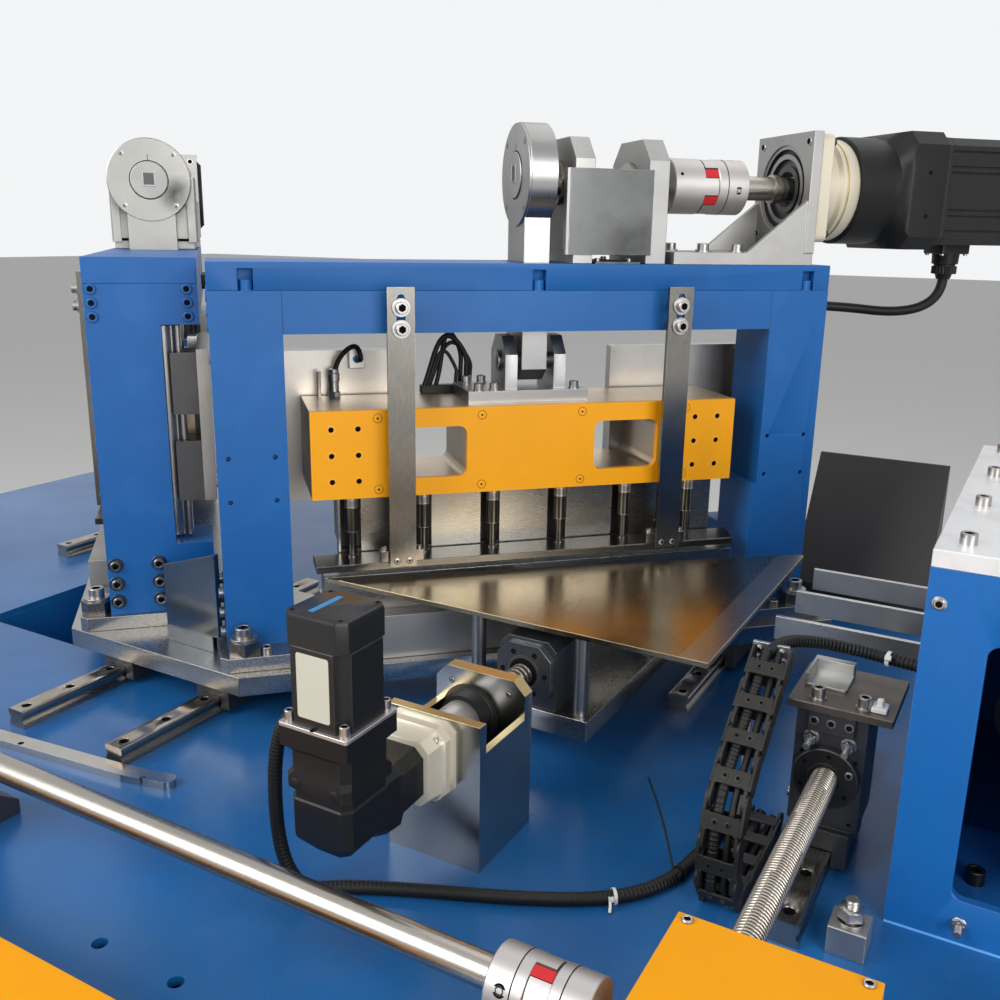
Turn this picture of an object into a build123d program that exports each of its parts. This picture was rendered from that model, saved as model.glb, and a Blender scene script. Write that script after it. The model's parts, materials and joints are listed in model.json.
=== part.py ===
from build123d import *
import math
import os

os.makedirs("parts", exist_ok=True)

# Shear section of a cut-to-length line, in mm.
# X runs along the strip, Y across it away from the operator, Z up from the floor.
# The origin is on the floor under the middle of the bed.

# Heights above the floor
DECK = 760.0
DECK_THICK = 12.0
RAIL_HIGH = 29.0
CARRIAGE_HIGH = 55.0
BASE_THICK = 32.0
FOOT_THICK = 24.0
BASE_LOW = DECK + CARRIAGE_HIGH
BASE_TOP = BASE_LOW + BASE_THICK
LEG = BASE_TOP + FOOT_THICK
BEAM_TOP = LEG + 558.0
TOP = LEG + 600.0
AXIS = LEG + 726.0

# Fits
RUN = 0.05
SLIDE = 0.3
SEAT = 0.1

# Bed, as offsets from the shear corner line
BED_HALF = 1400.0
BED_FRONT = -760.0
BED_BACK = 1190.0
WALL = 12.0
FRONT_Y = -(BED_FRONT + BED_BACK) / 2
BED_LOW = 60.0
PIT_X = (-560.0, -290.0)
PIT_Y = (45.0, 320.0)
PIT_DEEP = 120.0
DECK_HOLES = ((403.0, -480.0), (519.0, -480.0))
DECK_HOLE_R = 9.0

# Linear rails and carriages
RAIL_WIDE = 34.0
CAR_WIDE = 70.0
CAR_LONG = 110.0
CAR_LOW = 8.0
INNER_RAIL_X = 110.0
OUTER_RAIL_X = 760.0
INNER_RAIL_Y = (-212.0, 500.0)
OUTER_RAIL_Y = (375.0, 1010.0)
INNER_CAR_Y = (40.0, 230.0)
OUTER_CAR_Y = (625.0, 785.0)
RAIL_HOLE_R = 7.0
RAIL_HOLE_DEEP = 14.0
RAIL_PITCH = 80.0

# Shear portal: U along its length, V from front to back
PORTAL_LONG = 1030.0
PORTAL_DEEP = 175.0
LEG_WIDE = 107.0
APEX_X = 190.0 / 2 ** 0.5
BEAM_LOW = LEG + 494.0
LEDGE = 10.0
LEDGE_Z = LEG + 222.0
NOTCH_V = 114.0
NOTCH_Z = (LEG + 120.0, LEG + 493.0)
RAM_RAIL_Z = (LEG + 125.0, LEG + 488.0)
LEG_HOLES_U = (17.5, 87.5, 936.0, 1008.5)
LEG_HOLES_Z = (LEG + 238.0, LEG + 307.0)
POCKET_U = (56.0, 508.0, 989.0)
MID_V = PORTAL_DEEP / 2
ROD_SLOT_U = (485.0, 545.0)
ROD_SLOT_V = (25.0, 150.0)

# Ram and tooling
RAM_U = (142.0, 868.0)
RAM_Z = (LEG + 234.0, LEG + 375.0)
FACE_THICK = 12.0
RAM_BACK = 155.0
WINDOWS = ((300.0, 392.0, LEG + 262.0, LEG + 345.0), (611.0, 725.0, LEG + 262.0, LEG + 345.0))
WINDOW_R = 14.0
WING_BACK = 187.0
CAR_BACK = 166.0
RAM_CAR_Z = (LEG + 243.0, LEG + 393.0)
RAM_CAR_LONG = 104.0
BLADE_U = (185.0, 850.0)
CUT_V = 34.0
BLADE_THICK = 26.0
BLADE_LOW = (LEG + 126.0, LEG + 119.0)
STRIP_Z = LEG + 110.0
PLATE_LOW = LEG + 122.0
PLATE_THICK = 12.0
PIN_U = (205.0, 323.0, 441.0, 560.0, 678.0, 796.0)
PIN_V = 18.0
PIN_R = 7.0
SLEEVE_R = 11.0
HANGER_U = (258.0, 716.0)
HANGER_WIDE = 42.0
HANGER_V = (-38.0, -30.0)
HANGER_SCREW_Z = (LEG + 504.0, LEG + 536.0)

# Crank drive
THROW = 10.0
DISC_R = 81.0
ROD_U = (492.0, 538.0)
ECC_R = 45.0
JOURNAL_R = 35.0
SHAFT_R = 20.0
WRIST_Z = LEG + 438.0
WRIST_R = 14.0
EAR_U = ((466.0, 487.0), (550.0, 571.0))
BLOCK_U = ((565.0, 598.0), (690.0, 725.0))
BLOCK_TOP = LEG + 795.0
COUPLING_R = 45.0
FLANGE_U = (975.0, 993.0)
FLANGE_HALF = 90.0
FLANGE_BORE = 72.0
GEAR_U = (993.0, 1140.0)
SERVO_U = (1140.0, 1235.0, 1490.0)
SERVO_HALF = 90.0

# Crosswise drive
SCREW_R = 16.0
CROSS_X = 617.0
CROSS_Z = DECK + 145.0
BRACKET_X = (565.0, 698.0)
BRACKET_Y = (-163.0, -31.0)
BRACKET_WALL = 10.0
BRACKET_BORE = 42.0
MOTOR_X = 615.0
MOTOR_Y = -320.0
CROSS_SCREW_END = 305.0

# Guide station and line shaft
GUIDE_X = 1052.0
GUIDE_Z = DECK + 125.0
SHAFT_Y = -430.0
HOUSING_X = (1143.0, 1390.0)
HOUSING_Y = (0.0, 620.0)
HOUSING_HIGH = 430.0
CHAIN_X = (954.0, 994.0)
CHAIN_THICK = 28.0
CHAIN_BACK = 130.0
CHAIN_SLOPE = 36.0
CHAIN_RUN = 166.0
CHAIN_BENDS = (((4.0, 90.0), 116.0), ((-62.0, 50.0), 50.0))

MACHINE = Plane((0, FRONT_Y, 0))
PORTAL = Plane(origin=(APEX_X, FRONT_Y, 0), x_dir=(1, 1, 0), z_dir=(0, 0, 1))


def machine_xy(u, v):
    return (APEX_X + (u - v) / 2 ** 0.5, (u + v) / 2 ** 0.5)


def block(x0, x1, y0, y1, z0, z1, mode=Mode.ADD):
    with Locations(((x0 + x1) / 2, (y0 + y1) / 2, (z0 + z1) / 2)):
        Box(x1 - x0, y1 - y0, z1 - z0, mode=mode)


def round_x(x0, x1, y, z, radius, mode=Mode.ADD):
    with Locations(((x0 + x1) / 2, y, z)):
        Cylinder(radius, x1 - x0, rotation=(0, 90, 0), mode=mode)


def round_y(x, y0, y1, z, radius, mode=Mode.ADD):
    with Locations((x, (y0 + y1) / 2, z)):
        Cylinder(radius, y1 - y0, rotation=(90, 0, 0), mode=mode)


def round_z(x, y, z0, z1, radius, mode=Mode.ADD):
    with Locations((x, y, (z0 + z1) / 2)):
        Cylinder(radius, z1 - z0, mode=mode)


def facing_front(base, y):
    return Plane(origin=base.from_local_coords((0, y, 0)), x_dir=base.x_dir, z_dir=-base.y_dir)


def facing_end(base, x):
    return Plane(origin=base.from_local_coords((x, 0, 0)), x_dir=base.y_dir, z_dir=base.x_dir)


def plan_shape(base, corners, z0, z1, mode=Mode.ADD):
    with BuildSketch(base.offset(z0)) as outline:
        with BuildLine():
            Polyline(*corners, close=True)
        make_face()
    extrude(to_extrude=outline.sketch, amount=z1 - z0, mode=mode)


def front_shape(base, corners, y0, y1, mode=Mode.ADD):
    with BuildSketch(facing_front(base, y1)) as outline:
        with BuildLine():
            Polyline(*corners, close=True)
        make_face()
    extrude(to_extrude=outline.sketch, amount=y1 - y0, mode=mode)


def end_shape(base, corners, x0, x1, mode=Mode.ADD):
    with BuildSketch(facing_end(base, x0)) as outline:
        with BuildLine():
            Polyline(*corners, close=True)
        make_face()
    extrude(to_extrude=outline.sketch, amount=x1 - x0, mode=mode)


def round_window(base, window, y0, y1, radius, mode=Mode.SUBTRACT):
    x0, x1, z0, z1 = window
    with BuildSketch(facing_front(base, y1)) as outline:
        with Locations(((x0 + x1) / 2, (z0 + z1) / 2)):
            RectangleRounded(x1 - x0, z1 - z0, radius)
    extrude(to_extrude=outline.sketch, amount=y1 - y0, mode=mode)


# Machine bed: welded box with a scrap pan, closed by the deck
with BuildPart(MACHINE) as bed_frame:
    block(-BED_HALF, BED_HALF, BED_FRONT, BED_BACK, BED_LOW, DECK - DECK_THICK)
    for x0, x1 in ((-BED_HALF + WALL, -WALL / 2), (WALL / 2, BED_HALF - WALL)):
        block(x0, x1, BED_FRONT + WALL, BED_BACK - WALL, BED_LOW + WALL, DECK - DECK_THICK, Mode.SUBTRACT)
    pan_low = DECK - DECK_THICK - PIT_DEEP
    block(PIT_X[0] - WALL, PIT_X[1] + WALL, PIT_Y[0] - WALL, PIT_Y[1] + WALL,
          BED_LOW + WALL, DECK - DECK_THICK)
    block(*PIT_X, *PIT_Y, pan_low, DECK - DECK_THICK, Mode.SUBTRACT)
bed_frame.part.label = "bed_frame"
export_step(bed_frame.part, "parts/bed_frame.step")

# Deck plate with the scrap opening and two spare screw holes
with BuildPart(MACHINE) as deck_plate:
    block(-BED_HALF, BED_HALF, BED_FRONT, BED_BACK, DECK - DECK_THICK, DECK)
    block(*PIT_X, *PIT_Y, DECK - DECK_THICK, DECK, Mode.SUBTRACT)
    for x, y in DECK_HOLES:
        round_z(x, y, DECK - DECK_THICK, DECK, DECK_HOLE_R, Mode.SUBTRACT)
deck_plate.part.label = "deck_plate"
export_step(deck_plate.part, "parts/deck_plate.step")

# Levelling feet: round pad and stud under the bed
with BuildPart(MACHINE) as levelling_feet:
    for x in (-1300, -435, 435, 1300):
        for y in (BED_FRONT + 100, BED_BACK - 100):
            round_z(x, y, 0, 18, 70)
            round_z(x, y, 18, BED_LOW, 18)
levelling_feet.part.label = "levelling_feet"
export_step(levelling_feet.part, "parts/levelling_feet.step")

# Crosswise rails: two inner and two outer, with counterbored screw holes
with BuildPart(MACHINE) as cross_rails:
    for x, span in ((INNER_RAIL_X, INNER_RAIL_Y), (OUTER_RAIL_X, OUTER_RAIL_Y)):
        block(x - RAIL_WIDE / 2, x + RAIL_WIDE / 2, *span, DECK, DECK + RAIL_HIGH)
        for hole in (0, 1, 2):
            y = span[0] + 20 + hole * RAIL_PITCH
            round_z(x, y, DECK + RAIL_HIGH - RAIL_HOLE_DEEP, DECK + RAIL_HIGH, RAIL_HOLE_R, Mode.SUBTRACT)
    mirror(about=Plane.YZ)
cross_rails.part.label = "cross_rails"
export_step(cross_rails.part, "parts/cross_rails.step")

# Bracket of the crosswise drive: front and rear plates, two side walls, foot
with BuildPart(MACHINE) as cross_bracket:
    block(*BRACKET_X, *BRACKET_Y, DECK, DECK + BRACKET_WALL)
    block(*BRACKET_X, BRACKET_Y[0], BRACKET_Y[0] + 15, DECK, DECK + 196)
    end_x0, end_x1 = BRACKET_X
    front_shape(MACHINE, [(end_x0, DECK), (end_x1, DECK), (end_x1, DECK + 190), (end_x1 - 17, DECK + 207),
                          (end_x0 + 17, DECK + 207), (end_x0, DECK + 190)], BRACKET_Y[1] - 20, BRACKET_Y[1])
    for x in (end_x0, end_x1 - BRACKET_WALL):
        block(x, x + BRACKET_WALL, *BRACKET_Y, DECK, DECK + 157)
    round_y(CROSS_X, BRACKET_Y[1] - 20, BRACKET_Y[1], CROSS_Z, BRACKET_BORE, Mode.SUBTRACT)
    round_y(CROSS_X, BRACKET_Y[0], BRACKET_Y[0] + 15, CROSS_Z, 34, Mode.SUBTRACT)
cross_bracket.part.label = "cross_bracket"
export_step(cross_bracket.part, "parts/cross_bracket.step")

# Output flange of the right-angle gearbox
with BuildPart(MACHINE) as gearbox_flange:
    block(CROSS_X - 48, CROSS_X + 48, BRACKET_Y[0] - 24, BRACKET_Y[0], CROSS_Z - 48, CROSS_Z + 48)
    fillet(gearbox_flange.edges().filter_by(Axis.Y), 10)
    round_y(CROSS_X, BRACKET_Y[0] - 24, BRACKET_Y[0], CROSS_Z, 14, Mode.SUBTRACT)
gearbox_flange.part.label = "gearbox_flange"
export_step(gearbox_flange.part, "parts/gearbox_flange.step")

# Right-angle gearbox: body with stepped top and the motor adapter plate
with BuildPart(MACHINE) as cross_gearbox:
    block(MOTOR_X - 40, MOTOR_X + 40, MOTOR_Y - 36, MOTOR_Y + 36, CROSS_Z - 40, DECK + 235)
    block(CROSS_X - 40, CROSS_X + 40, MOTOR_Y + 36, BRACKET_Y[0] - 24, CROSS_Z - 40, CROSS_Z + 40)
    chamfer(cross_gearbox.edges().group_by(Axis.Z)[0], 8)
    block(MOTOR_X - 45, MOTOR_X + 45, MOTOR_Y - 45, MOTOR_Y + 45, DECK + 235, DECK + 262)
    round_y(CROSS_X, BRACKET_Y[0] - 54, BRACKET_Y[0] - 24, CROSS_Z, 14, Mode.SUBTRACT)
cross_gearbox.part.label = "cross_gearbox"
export_step(cross_gearbox.part, "parts/cross_gearbox.step")

# Upright motor of the crosswise drive
with BuildPart(MACHINE) as cross_motor:
    block(MOTOR_X - 40, MOTOR_X + 40, MOTOR_Y - 40, MOTOR_Y + 40, DECK + 262, DECK + 385)
    chamfer(cross_motor.edges().filter_by(Axis.Z), 9)
cross_motor.part.label = "cross_motor"
export_step(cross_motor.part, "parts/cross_motor.step")

# Datum bar lying on the deck, with a round end and three holes
with BuildPart(MACHINE) as datum_bar:
    plan_shape(MACHINE, [(-320, -291), (156, -241), (222, -226), (218, -202), (150, -216), (-322, -267)],
               DECK, DECK + 12)
    round_z(220, -214, DECK, DECK + 12, 12.3)
    for x in (-230, -40, 190):
        round_z(x, -255 + (x + 40) * 0.11, DECK, DECK + 12, 4.5, Mode.SUBTRACT)
datum_bar.part.label = "datum_bar"
export_step(datum_bar.part, "parts/datum_bar.step")

# Pillow blocks of the line shaft
with BuildPart(MACHINE) as shaft_bearings:
    for x in (-1250, 60):
        end_shape(MACHINE, [(SHAFT_Y - 70, DECK), (SHAFT_Y + 70, DECK), (SHAFT_Y + 70, DECK + 20),
                            (SHAFT_Y + 42, DECK + 40), (SHAFT_Y + 42, GUIDE_Z + 20),
                            (SHAFT_Y + 20, GUIDE_Z + 42), (SHAFT_Y - 20, GUIDE_Z + 42),
                            (SHAFT_Y - 42, GUIDE_Z + 20), (SHAFT_Y - 42, DECK + 40),
                            (SHAFT_Y - 70, DECK + 20)], x, x + 44)
        round_x(x, x + 44, SHAFT_Y, GUIDE_Z, SCREW_R + RUN, Mode.SUBTRACT)
shaft_bearings.part.label = "shaft_bearings"
export_step(shaft_bearings.part, "parts/shaft_bearings.step")

# Folded yellow covers: front cover, and guide cover with holes for shaft and screw
SHEET = 3.0
COVER_X = (1000.0, 1178.0)
COVER_Y = (-560.0, -320.0)
COVER_TOP = DECK + 168.0
with BuildPart(MACHINE) as deck_covers:
    block(-500, 700, -740, -590, DECK, DECK + 85)
    block(-500 + SHEET, 700 - SHEET, -740 + SHEET, -590 - SHEET, DECK, DECK + 85 - SHEET, Mode.SUBTRACT)
    block(*COVER_X, *COVER_Y, DECK, COVER_TOP)
    block(COVER_X[0] + SHEET, COVER_X[1] - SHEET, COVER_Y[0] + SHEET, COVER_Y[1] - SHEET,
          DECK, COVER_TOP - SHEET, Mode.SUBTRACT)
    round_x(COVER_X[0], COVER_X[0] + SHEET, SHAFT_Y, GUIDE_Z, SCREW_R + 2, Mode.SUBTRACT)
    round_y(GUIDE_X, COVER_Y[1] - SHEET, COVER_Y[1], GUIDE_Z, SCREW_R + 2, Mode.SUBTRACT)
deck_covers.part.label = "deck_covers"
export_step(deck_covers.part, "parts/deck_covers.step")

# Bevel gearbox under the guide cover
with BuildPart(MACHINE) as guide_gearbox:
    block(1012, 1100, SHAFT_Y - 45, SHAFT_Y + 45, DECK, DECK + 162)
    round_x(1012, 1030, SHAFT_Y, GUIDE_Z, SCREW_R + RUN, Mode.SUBTRACT)
    round_y(GUIDE_X, SHAFT_Y + 25, SHAFT_Y + 45, GUIDE_Z, SCREW_R + RUN, Mode.SUBTRACT)
guide_gearbox.part.label = "guide_gearbox"
export_step(guide_gearbox.part, "parts/guide_gearbox.step")

# Guide-station housing with a round-cornered window in its front wall
with BuildPart(MACHINE) as station_housing:
    block(*HOUSING_X, *HOUSING_Y, DECK, DECK + HOUSING_HIGH)
    block(HOUSING_X[0] + WALL, HOUSING_X[1] - WALL, HOUSING_Y[0] + WALL, HOUSING_Y[1] - WALL,
          DECK, DECK + HOUSING_HIGH, Mode.SUBTRACT)
    round_window(MACHINE, (1208, 1335, DECK + 100, DECK + 355), HOUSING_Y[0], HOUSING_Y[0] + WALL, 32)
station_housing.part.label = "station_housing"
export_step(station_housing.part, "parts/station_housing.step")

# Ground top plate of the housing, with its cap screws
with BuildPart(MACHINE) as housing_top:
    block(*HOUSING_X, *HOUSING_Y, DECK + HOUSING_HIGH, DECK + HOUSING_HIGH + 20)
    for x in (HOUSING_X[0] + 30, HOUSING_X[1] - 30):
        for y in (40, 220, 400, 580):
            round_z(x, y, DECK + HOUSING_HIGH + 20 + SEAT, DECK + HOUSING_HIGH + 32, 9)
housing_top.part.label = "housing_top"
export_step(housing_top.part, "parts/housing_top.step")

# Guide rail of the strip guide
with BuildPart(MACHINE) as guide_rail:
    block(GUIDE_X - RAIL_WIDE / 2, GUIDE_X + RAIL_WIDE / 2, -100, 380, DECK, DECK + RAIL_HIGH)
    for y in (-77, -7):
        round_z(GUIDE_X, y, DECK + RAIL_HIGH - RAIL_HOLE_DEEP, DECK + RAIL_HIGH, RAIL_HOLE_R, Mode.SUBTRACT)
guide_rail.part.label = "guide_rail"
export_step(guide_rail.part, "parts/guide_rail.step")

# Energy chain: sloping upper run, bend down to the deck, and lower run lying on it
def on_bend(bend, inwards, degrees):
    (y, z), radius = CHAIN_BENDS[bend]
    turn = math.radians(degrees)
    return (y + (radius - inwards) * math.cos(turn), DECK + z + (radius - inwards) * math.sin(turn))


with BuildPart(MACHINE) as energy_chain:
    slope = math.radians(CHAIN_SLOPE)
    first = 90 + CHAIN_SLOPE
    faces = []
    for inwards in (0, CHAIN_THICK):
        y, z = on_bend(0, inwards, first)
        faces.append((y + CHAIN_RUN * math.cos(slope), z + CHAIN_RUN * math.sin(slope)))
    with BuildSketch(facing_end(MACHINE, CHAIN_X[0])) as chain_outline:
        with BuildLine():
            for inwards in (0, CHAIN_THICK):
                Line(faces[inwards > 0], on_bend(0, inwards, first))
                ThreePointArc(on_bend(0, inwards, first), on_bend(0, inwards, (first + 180) / 2),
                              on_bend(0, inwards, 180))
                Line(on_bend(0, inwards, 180), on_bend(1, inwards, 180))
                ThreePointArc(on_bend(1, inwards, 180), on_bend(1, inwards, 225), on_bend(1, inwards, 270))
                Line(on_bend(1, inwards, 270), (CHAIN_BACK, DECK + inwards))
            Line(*faces)
            Line((CHAIN_BACK, DECK), (CHAIN_BACK, DECK + CHAIN_THICK))
        make_face()
    extrude(to_extrude=chain_outline.sketch, amount=CHAIN_X[1] - CHAIN_X[0])
energy_chain.part.label = "energy_chain"
export_step(energy_chain.part, "parts/energy_chain.step")

# Strip-support fingers, and the post with a seat that carries the chain's upper end
with BuildPart(MACHINE) as station_arms:
    for y in (330, 455, 580):
        block(915, HOUSING_X[0], y, y + 8, DECK + 180, DECK + 216)
    block(CHAIN_X[0] - 9, CHAIN_X[0] - 1, 78, 98, DECK, DECK + 254)
    block(CHAIN_X[0] - 9, CHAIN_X[1] - 4, 86.6, 92.6, DECK + 254, DECK + 272)
station_arms.part.label = "station_arms"
export_step(station_arms.part, "parts/station_arms.step")

# Chute behind the shears: sloping sheet with two side walls
with BuildPart(MACHINE) as chute:
    end_shape(MACHINE, [(960, DECK), (968, DECK), (968, DECK + 52), (1130, DECK + 296), (1130, DECK + 306),
                        (1123, DECK + 306), (960, DECK + 60)], 800, 1060)
    for x in (800, 1054):
        end_shape(MACHINE, [(960, DECK), (1130, DECK), (1130, DECK + 306), (1123, DECK + 306),
                            (960, DECK + 60)], x, x + 6)
chute.part.label = "chute"
export_step(chute.part, "parts/chute.step")

# Motor cable in its conduit: down from the motor adapter, along the deck and beside the chain to its end
CABLE_R = 8.0
CABLE_BEND = 45.0
with BuildPart(MACHINE) as bed_cable:
    cable_z = DECK + CABLE_R + 0.3
    cable_start = MACHINE.from_local_coords((MOTOR_X - 45, MOTOR_Y, DECK + 248))
    with BuildLine() as cable_path:
        FilletPolyline(
            cable_start,
            MACHINE.from_local_coords((MOTOR_X - 95, MOTOR_Y, DECK + 248)),
            MACHINE.from_local_coords((MOTOR_X - 95, MOTOR_Y, cable_z)),
            MACHINE.from_local_coords((MOTOR_X - 20, -262, cable_z)),
            MACHINE.from_local_coords((807, -173, cable_z)),
            MACHINE.from_local_coords((903, -97, cable_z)),
            MACHINE.from_local_coords((925, 20, cable_z)),
            MACHINE.from_local_coords((930, 98, cable_z)),
            MACHINE.from_local_coords((CHAIN_X[0] - 10, 118, cable_z)),
            radius=CABLE_BEND)
    with BuildSketch(Plane(origin=cable_start, z_dir=(-1, 0, 0))) as cable_section:
        Circle(CABLE_R)
    sweep(cable_section.sketch, path=cable_path.line)
bed_cable.part.label = "bed_cable"
export_step(bed_cable.part, "parts/bed_cable.step")
print("bed_cable tube radius", CABLE_R, "bend radius", CABLE_BEND)

# Stop block with its bolt and nut
with BuildPart(MACHINE) as stop_block:
    block(1095, 1137, -88, -46, DECK, DECK + 34)
    round_z(1116, -67, DECK + 34, DECK + 62, 8)
    with BuildSketch(MACHINE.offset(DECK + 40)) as nut_outline:
        with Locations((1116, -67)):
            RegularPolygon(13, 6, major_radius=False)
    extrude(to_extrude=nut_outline.sketch, amount=12)
stop_block.part.label = "stop_block"
export_step(stop_block.part, "parts/stop_block.step")

# Crosswise ballscrew with the coupling hub and the stub in the gearbox
with BuildPart(MACHINE) as cross_screw:
    round_y(CROSS_X, BRACKET_Y[0] - 50, BRACKET_Y[0] + 5, CROSS_Z, 14 - RUN)
    round_y(CROSS_X, BRACKET_Y[0] + 5, -70, CROSS_Z, 28)
    round_y(CROSS_X, -70, -51, CROSS_Z, SCREW_R)
    round_y(CROSS_X, -51, BRACKET_Y[1], CROSS_Z, BRACKET_BORE - RUN)
    round_y(CROSS_X, BRACKET_Y[1], CROSS_SCREW_END, CROSS_Z, SCREW_R)
cross_screw.part.label = "cross_screw"
export_step(cross_screw.part, "parts/cross_screw.step")

# Line shaft with a turned-down journal at its open end and a stub in the bevel gearbox
with BuildPart(MACHINE) as line_shaft:
    round_x(-1330, -1260, SHAFT_Y, GUIDE_Z, SCREW_R - 2)
    round_x(-1260, 896, SHAFT_Y, GUIDE_Z, SCREW_R)
    round_x(951, 1028, SHAFT_Y, GUIDE_Z, SCREW_R)
line_shaft.part.label = "line_shaft"
export_step(line_shaft.part, "parts/line_shaft.step")

# Jaw coupling of the line shaft: hub, spider, hub
with BuildPart(MACHINE) as shaft_coupling:
    for x0, x1, radius in ((876, 914, 33), (914, 933, 31), (933, 971, 33)):
        round_x(x0, x1, SHAFT_Y, GUIDE_Z, radius)
    round_x(876, 896, SHAFT_Y, GUIDE_Z, SCREW_R, Mode.SUBTRACT)
    round_x(951, 971, SHAFT_Y, GUIDE_Z, SCREW_R, Mode.SUBTRACT)
shaft_coupling.part.label = "shaft_coupling"
export_step(shaft_coupling.part, "parts/shaft_coupling.step")

# Guide ballscrew
with BuildPart(MACHINE) as guide_screw:
    round_y(GUIDE_X, SHAFT_Y + 27, 370, GUIDE_Z, SCREW_R)
guide_screw.part.label = "guide_screw"
export_step(guide_screw.part, "parts/guide_screw.step")

# Guide carriage with the nut housing
NUT_Y = (60.0, 170.0)
with BuildPart(MACHINE) as guide_carriage:
    block(GUIDE_X - CAR_WIDE / 2, GUIDE_X + CAR_WIDE / 2, *NUT_Y, DECK + CAR_LOW, DECK + CARRIAGE_HIGH)
    block(GUIDE_X - RAIL_WIDE / 2 - SLIDE, GUIDE_X + RAIL_WIDE / 2 + SLIDE, *NUT_Y,
          DECK + CAR_LOW, DECK + RAIL_HIGH + SLIDE, Mode.SUBTRACT)
    block(GUIDE_X - 42, GUIDE_X + 42, NUT_Y[0] + 10, NUT_Y[1] - 10, DECK + CARRIAGE_HIGH, DECK + 212)
    round_y(GUIDE_X, NUT_Y[0] + 10, NUT_Y[1] - 10, GUIDE_Z, 21, Mode.SUBTRACT)
guide_carriage.part.label = "guide_carriage"
export_step(guide_carriage.part, "parts/guide_carriage.step")

# Guide ball nut: flange and barrel
with BuildPart(MACHINE) as guide_nut:
    round_y(GUIDE_X, NUT_Y[0] - 2, NUT_Y[0] + 10, GUIDE_Z, 29)
    round_y(GUIDE_X, NUT_Y[0] + 10, NUT_Y[1] - 10, GUIDE_Z, 21)
    round_y(GUIDE_X, NUT_Y[0] - 2, NUT_Y[1] - 10, GUIDE_Z, SCREW_R + RUN, Mode.SUBTRACT)
guide_nut.part.label = "guide_nut"
export_step(guide_nut.part, "parts/guide_nut.step")

# Guide bracket: top plate, step plate and two screw heads
with BuildPart(MACHINE) as guide_bracket:
    block(1000, 1122, NUT_Y[0] - 6, NUT_Y[1] + 10, DECK + 212, DECK + 222)
    block(1010, 1060, NUT_Y[0] + 40, NUT_Y[1] + 10, DECK + 222, DECK + 240)
    for x in (1032, 1086):
        round_z(x, NUT_Y[0] + 14, DECK + 222, DECK + 236, 9)
guide_bracket.part.label = "guide_bracket"
export_step(guide_bracket.part, "parts/guide_bracket.step")

# Base plate of the two shears: two arms, a tie between them and the nut arm
ARM_X = (505.0, 715.0)
BASE_FRONT = -38.0
BASE_V = (-68.0, 200.0)
BASE_END_U = 1060.0
TIE_X = 160.0
with BuildPart(MACHINE) as base_plate:
    front_u = BASE_FRONT * 2 ** 0.5 - BASE_V[0]
    tie_u = (TIE_X - APEX_X) * 2 ** 0.5 + BASE_V[1]
    tie_y = machine_xy(tie_u, BASE_V[1])[1]
    plan_shape(MACHINE, [(0, BASE_FRONT), machine_xy(front_u, BASE_V[0]), machine_xy(BASE_END_U, BASE_V[0]),
                         machine_xy(BASE_END_U, BASE_V[1]), (TIE_X, tie_y), (0, tie_y)], BASE_LOW, BASE_TOP)
    mirror(about=Plane.YZ)
    block(*ARM_X, 108, 490, BASE_LOW, BASE_TOP)
base_plate.part.label = "base_plate"
export_step(base_plate.part, "parts/base_plate.step")

# Carriages that run on the crosswise rails
with BuildPart(MACHINE) as base_carriages:
    for x, centres in ((INNER_RAIL_X, INNER_CAR_Y), (OUTER_RAIL_X, OUTER_CAR_Y)):
        for y in centres:
            block(x - CAR_WIDE / 2, x + CAR_WIDE / 2, y - CAR_LONG / 2, y + CAR_LONG / 2,
                  DECK + CAR_LOW, BASE_LOW)
            block(x - RAIL_WIDE / 2 - SLIDE, x + RAIL_WIDE / 2 + SLIDE, y - CAR_LONG / 2, y + CAR_LONG / 2,
                  DECK + CAR_LOW, DECK + RAIL_HIGH + SLIDE, Mode.SUBTRACT)
    mirror(about=Plane.YZ)
base_carriages.part.label = "base_carriages"
export_step(base_carriages.part, "parts/base_carriages.step")

# Housing of the crosswise ball nut, on the nut arm
CROSS_NUT_Y = (112.0, 200.0)
with BuildPart(MACHINE) as cross_nut_housing:
    block(CROSS_X - 46, CROSS_X + 46, *CROSS_NUT_Y, BASE_TOP, CROSS_Z + 48)
    chamfer(cross_nut_housing.edges().group_by(Axis.Z)[-1].filter_by(Axis.Y), 14)
    round_y(CROSS_X, *CROSS_NUT_Y, CROSS_Z, 24, Mode.SUBTRACT)
cross_nut_housing.part.label = "cross_nut_housing"
export_step(cross_nut_housing.part, "parts/cross_nut_housing.step")

# Crosswise ball nut: eight-sided flange and barrel
with BuildPart(MACHINE) as cross_nut:
    with BuildSketch(facing_front(MACHINE, CROSS_NUT_Y[0])) as nut_flange:
        with Locations((CROSS_X, CROSS_Z)):
            RegularPolygon(44, 8, major_radius=False, rotation=22.5)
    extrude(to_extrude=nut_flange.sketch, amount=14)
    round_y(CROSS_X, *CROSS_NUT_Y, CROSS_Z, 24)
    round_y(CROSS_X, CROSS_NUT_Y[0] - 14, CROSS_NUT_Y[1], CROSS_Z, SCREW_R + RUN, Mode.SUBTRACT)
cross_nut.part.label = "cross_nut"
export_step(cross_nut.part, "parts/cross_nut.step")

# Triangular table plate in front of the right shear
TABLE_THICK = 8.0
with BuildPart(MACHINE) as table_plate:
    plan_shape(MACHINE, [(259, 102), (886, 102), (886, 630), (874, 630)], STRIP_Z - TABLE_THICK, STRIP_Z)
table_plate.part.label = "table_plate"
export_step(table_plate.part, "parts/table_plate.step")

# Table posts standing on the nut arm
with BuildPart(MACHINE) as table_posts:
    for x, y in ((525, 128), (695, 128), (525, 280), (695, 400)):
        round_z(x, y, BASE_TOP, STRIP_Z - TABLE_THICK, 11)
table_posts.part.label = "table_posts"
export_step(table_posts.part, "parts/table_posts.step")

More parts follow.
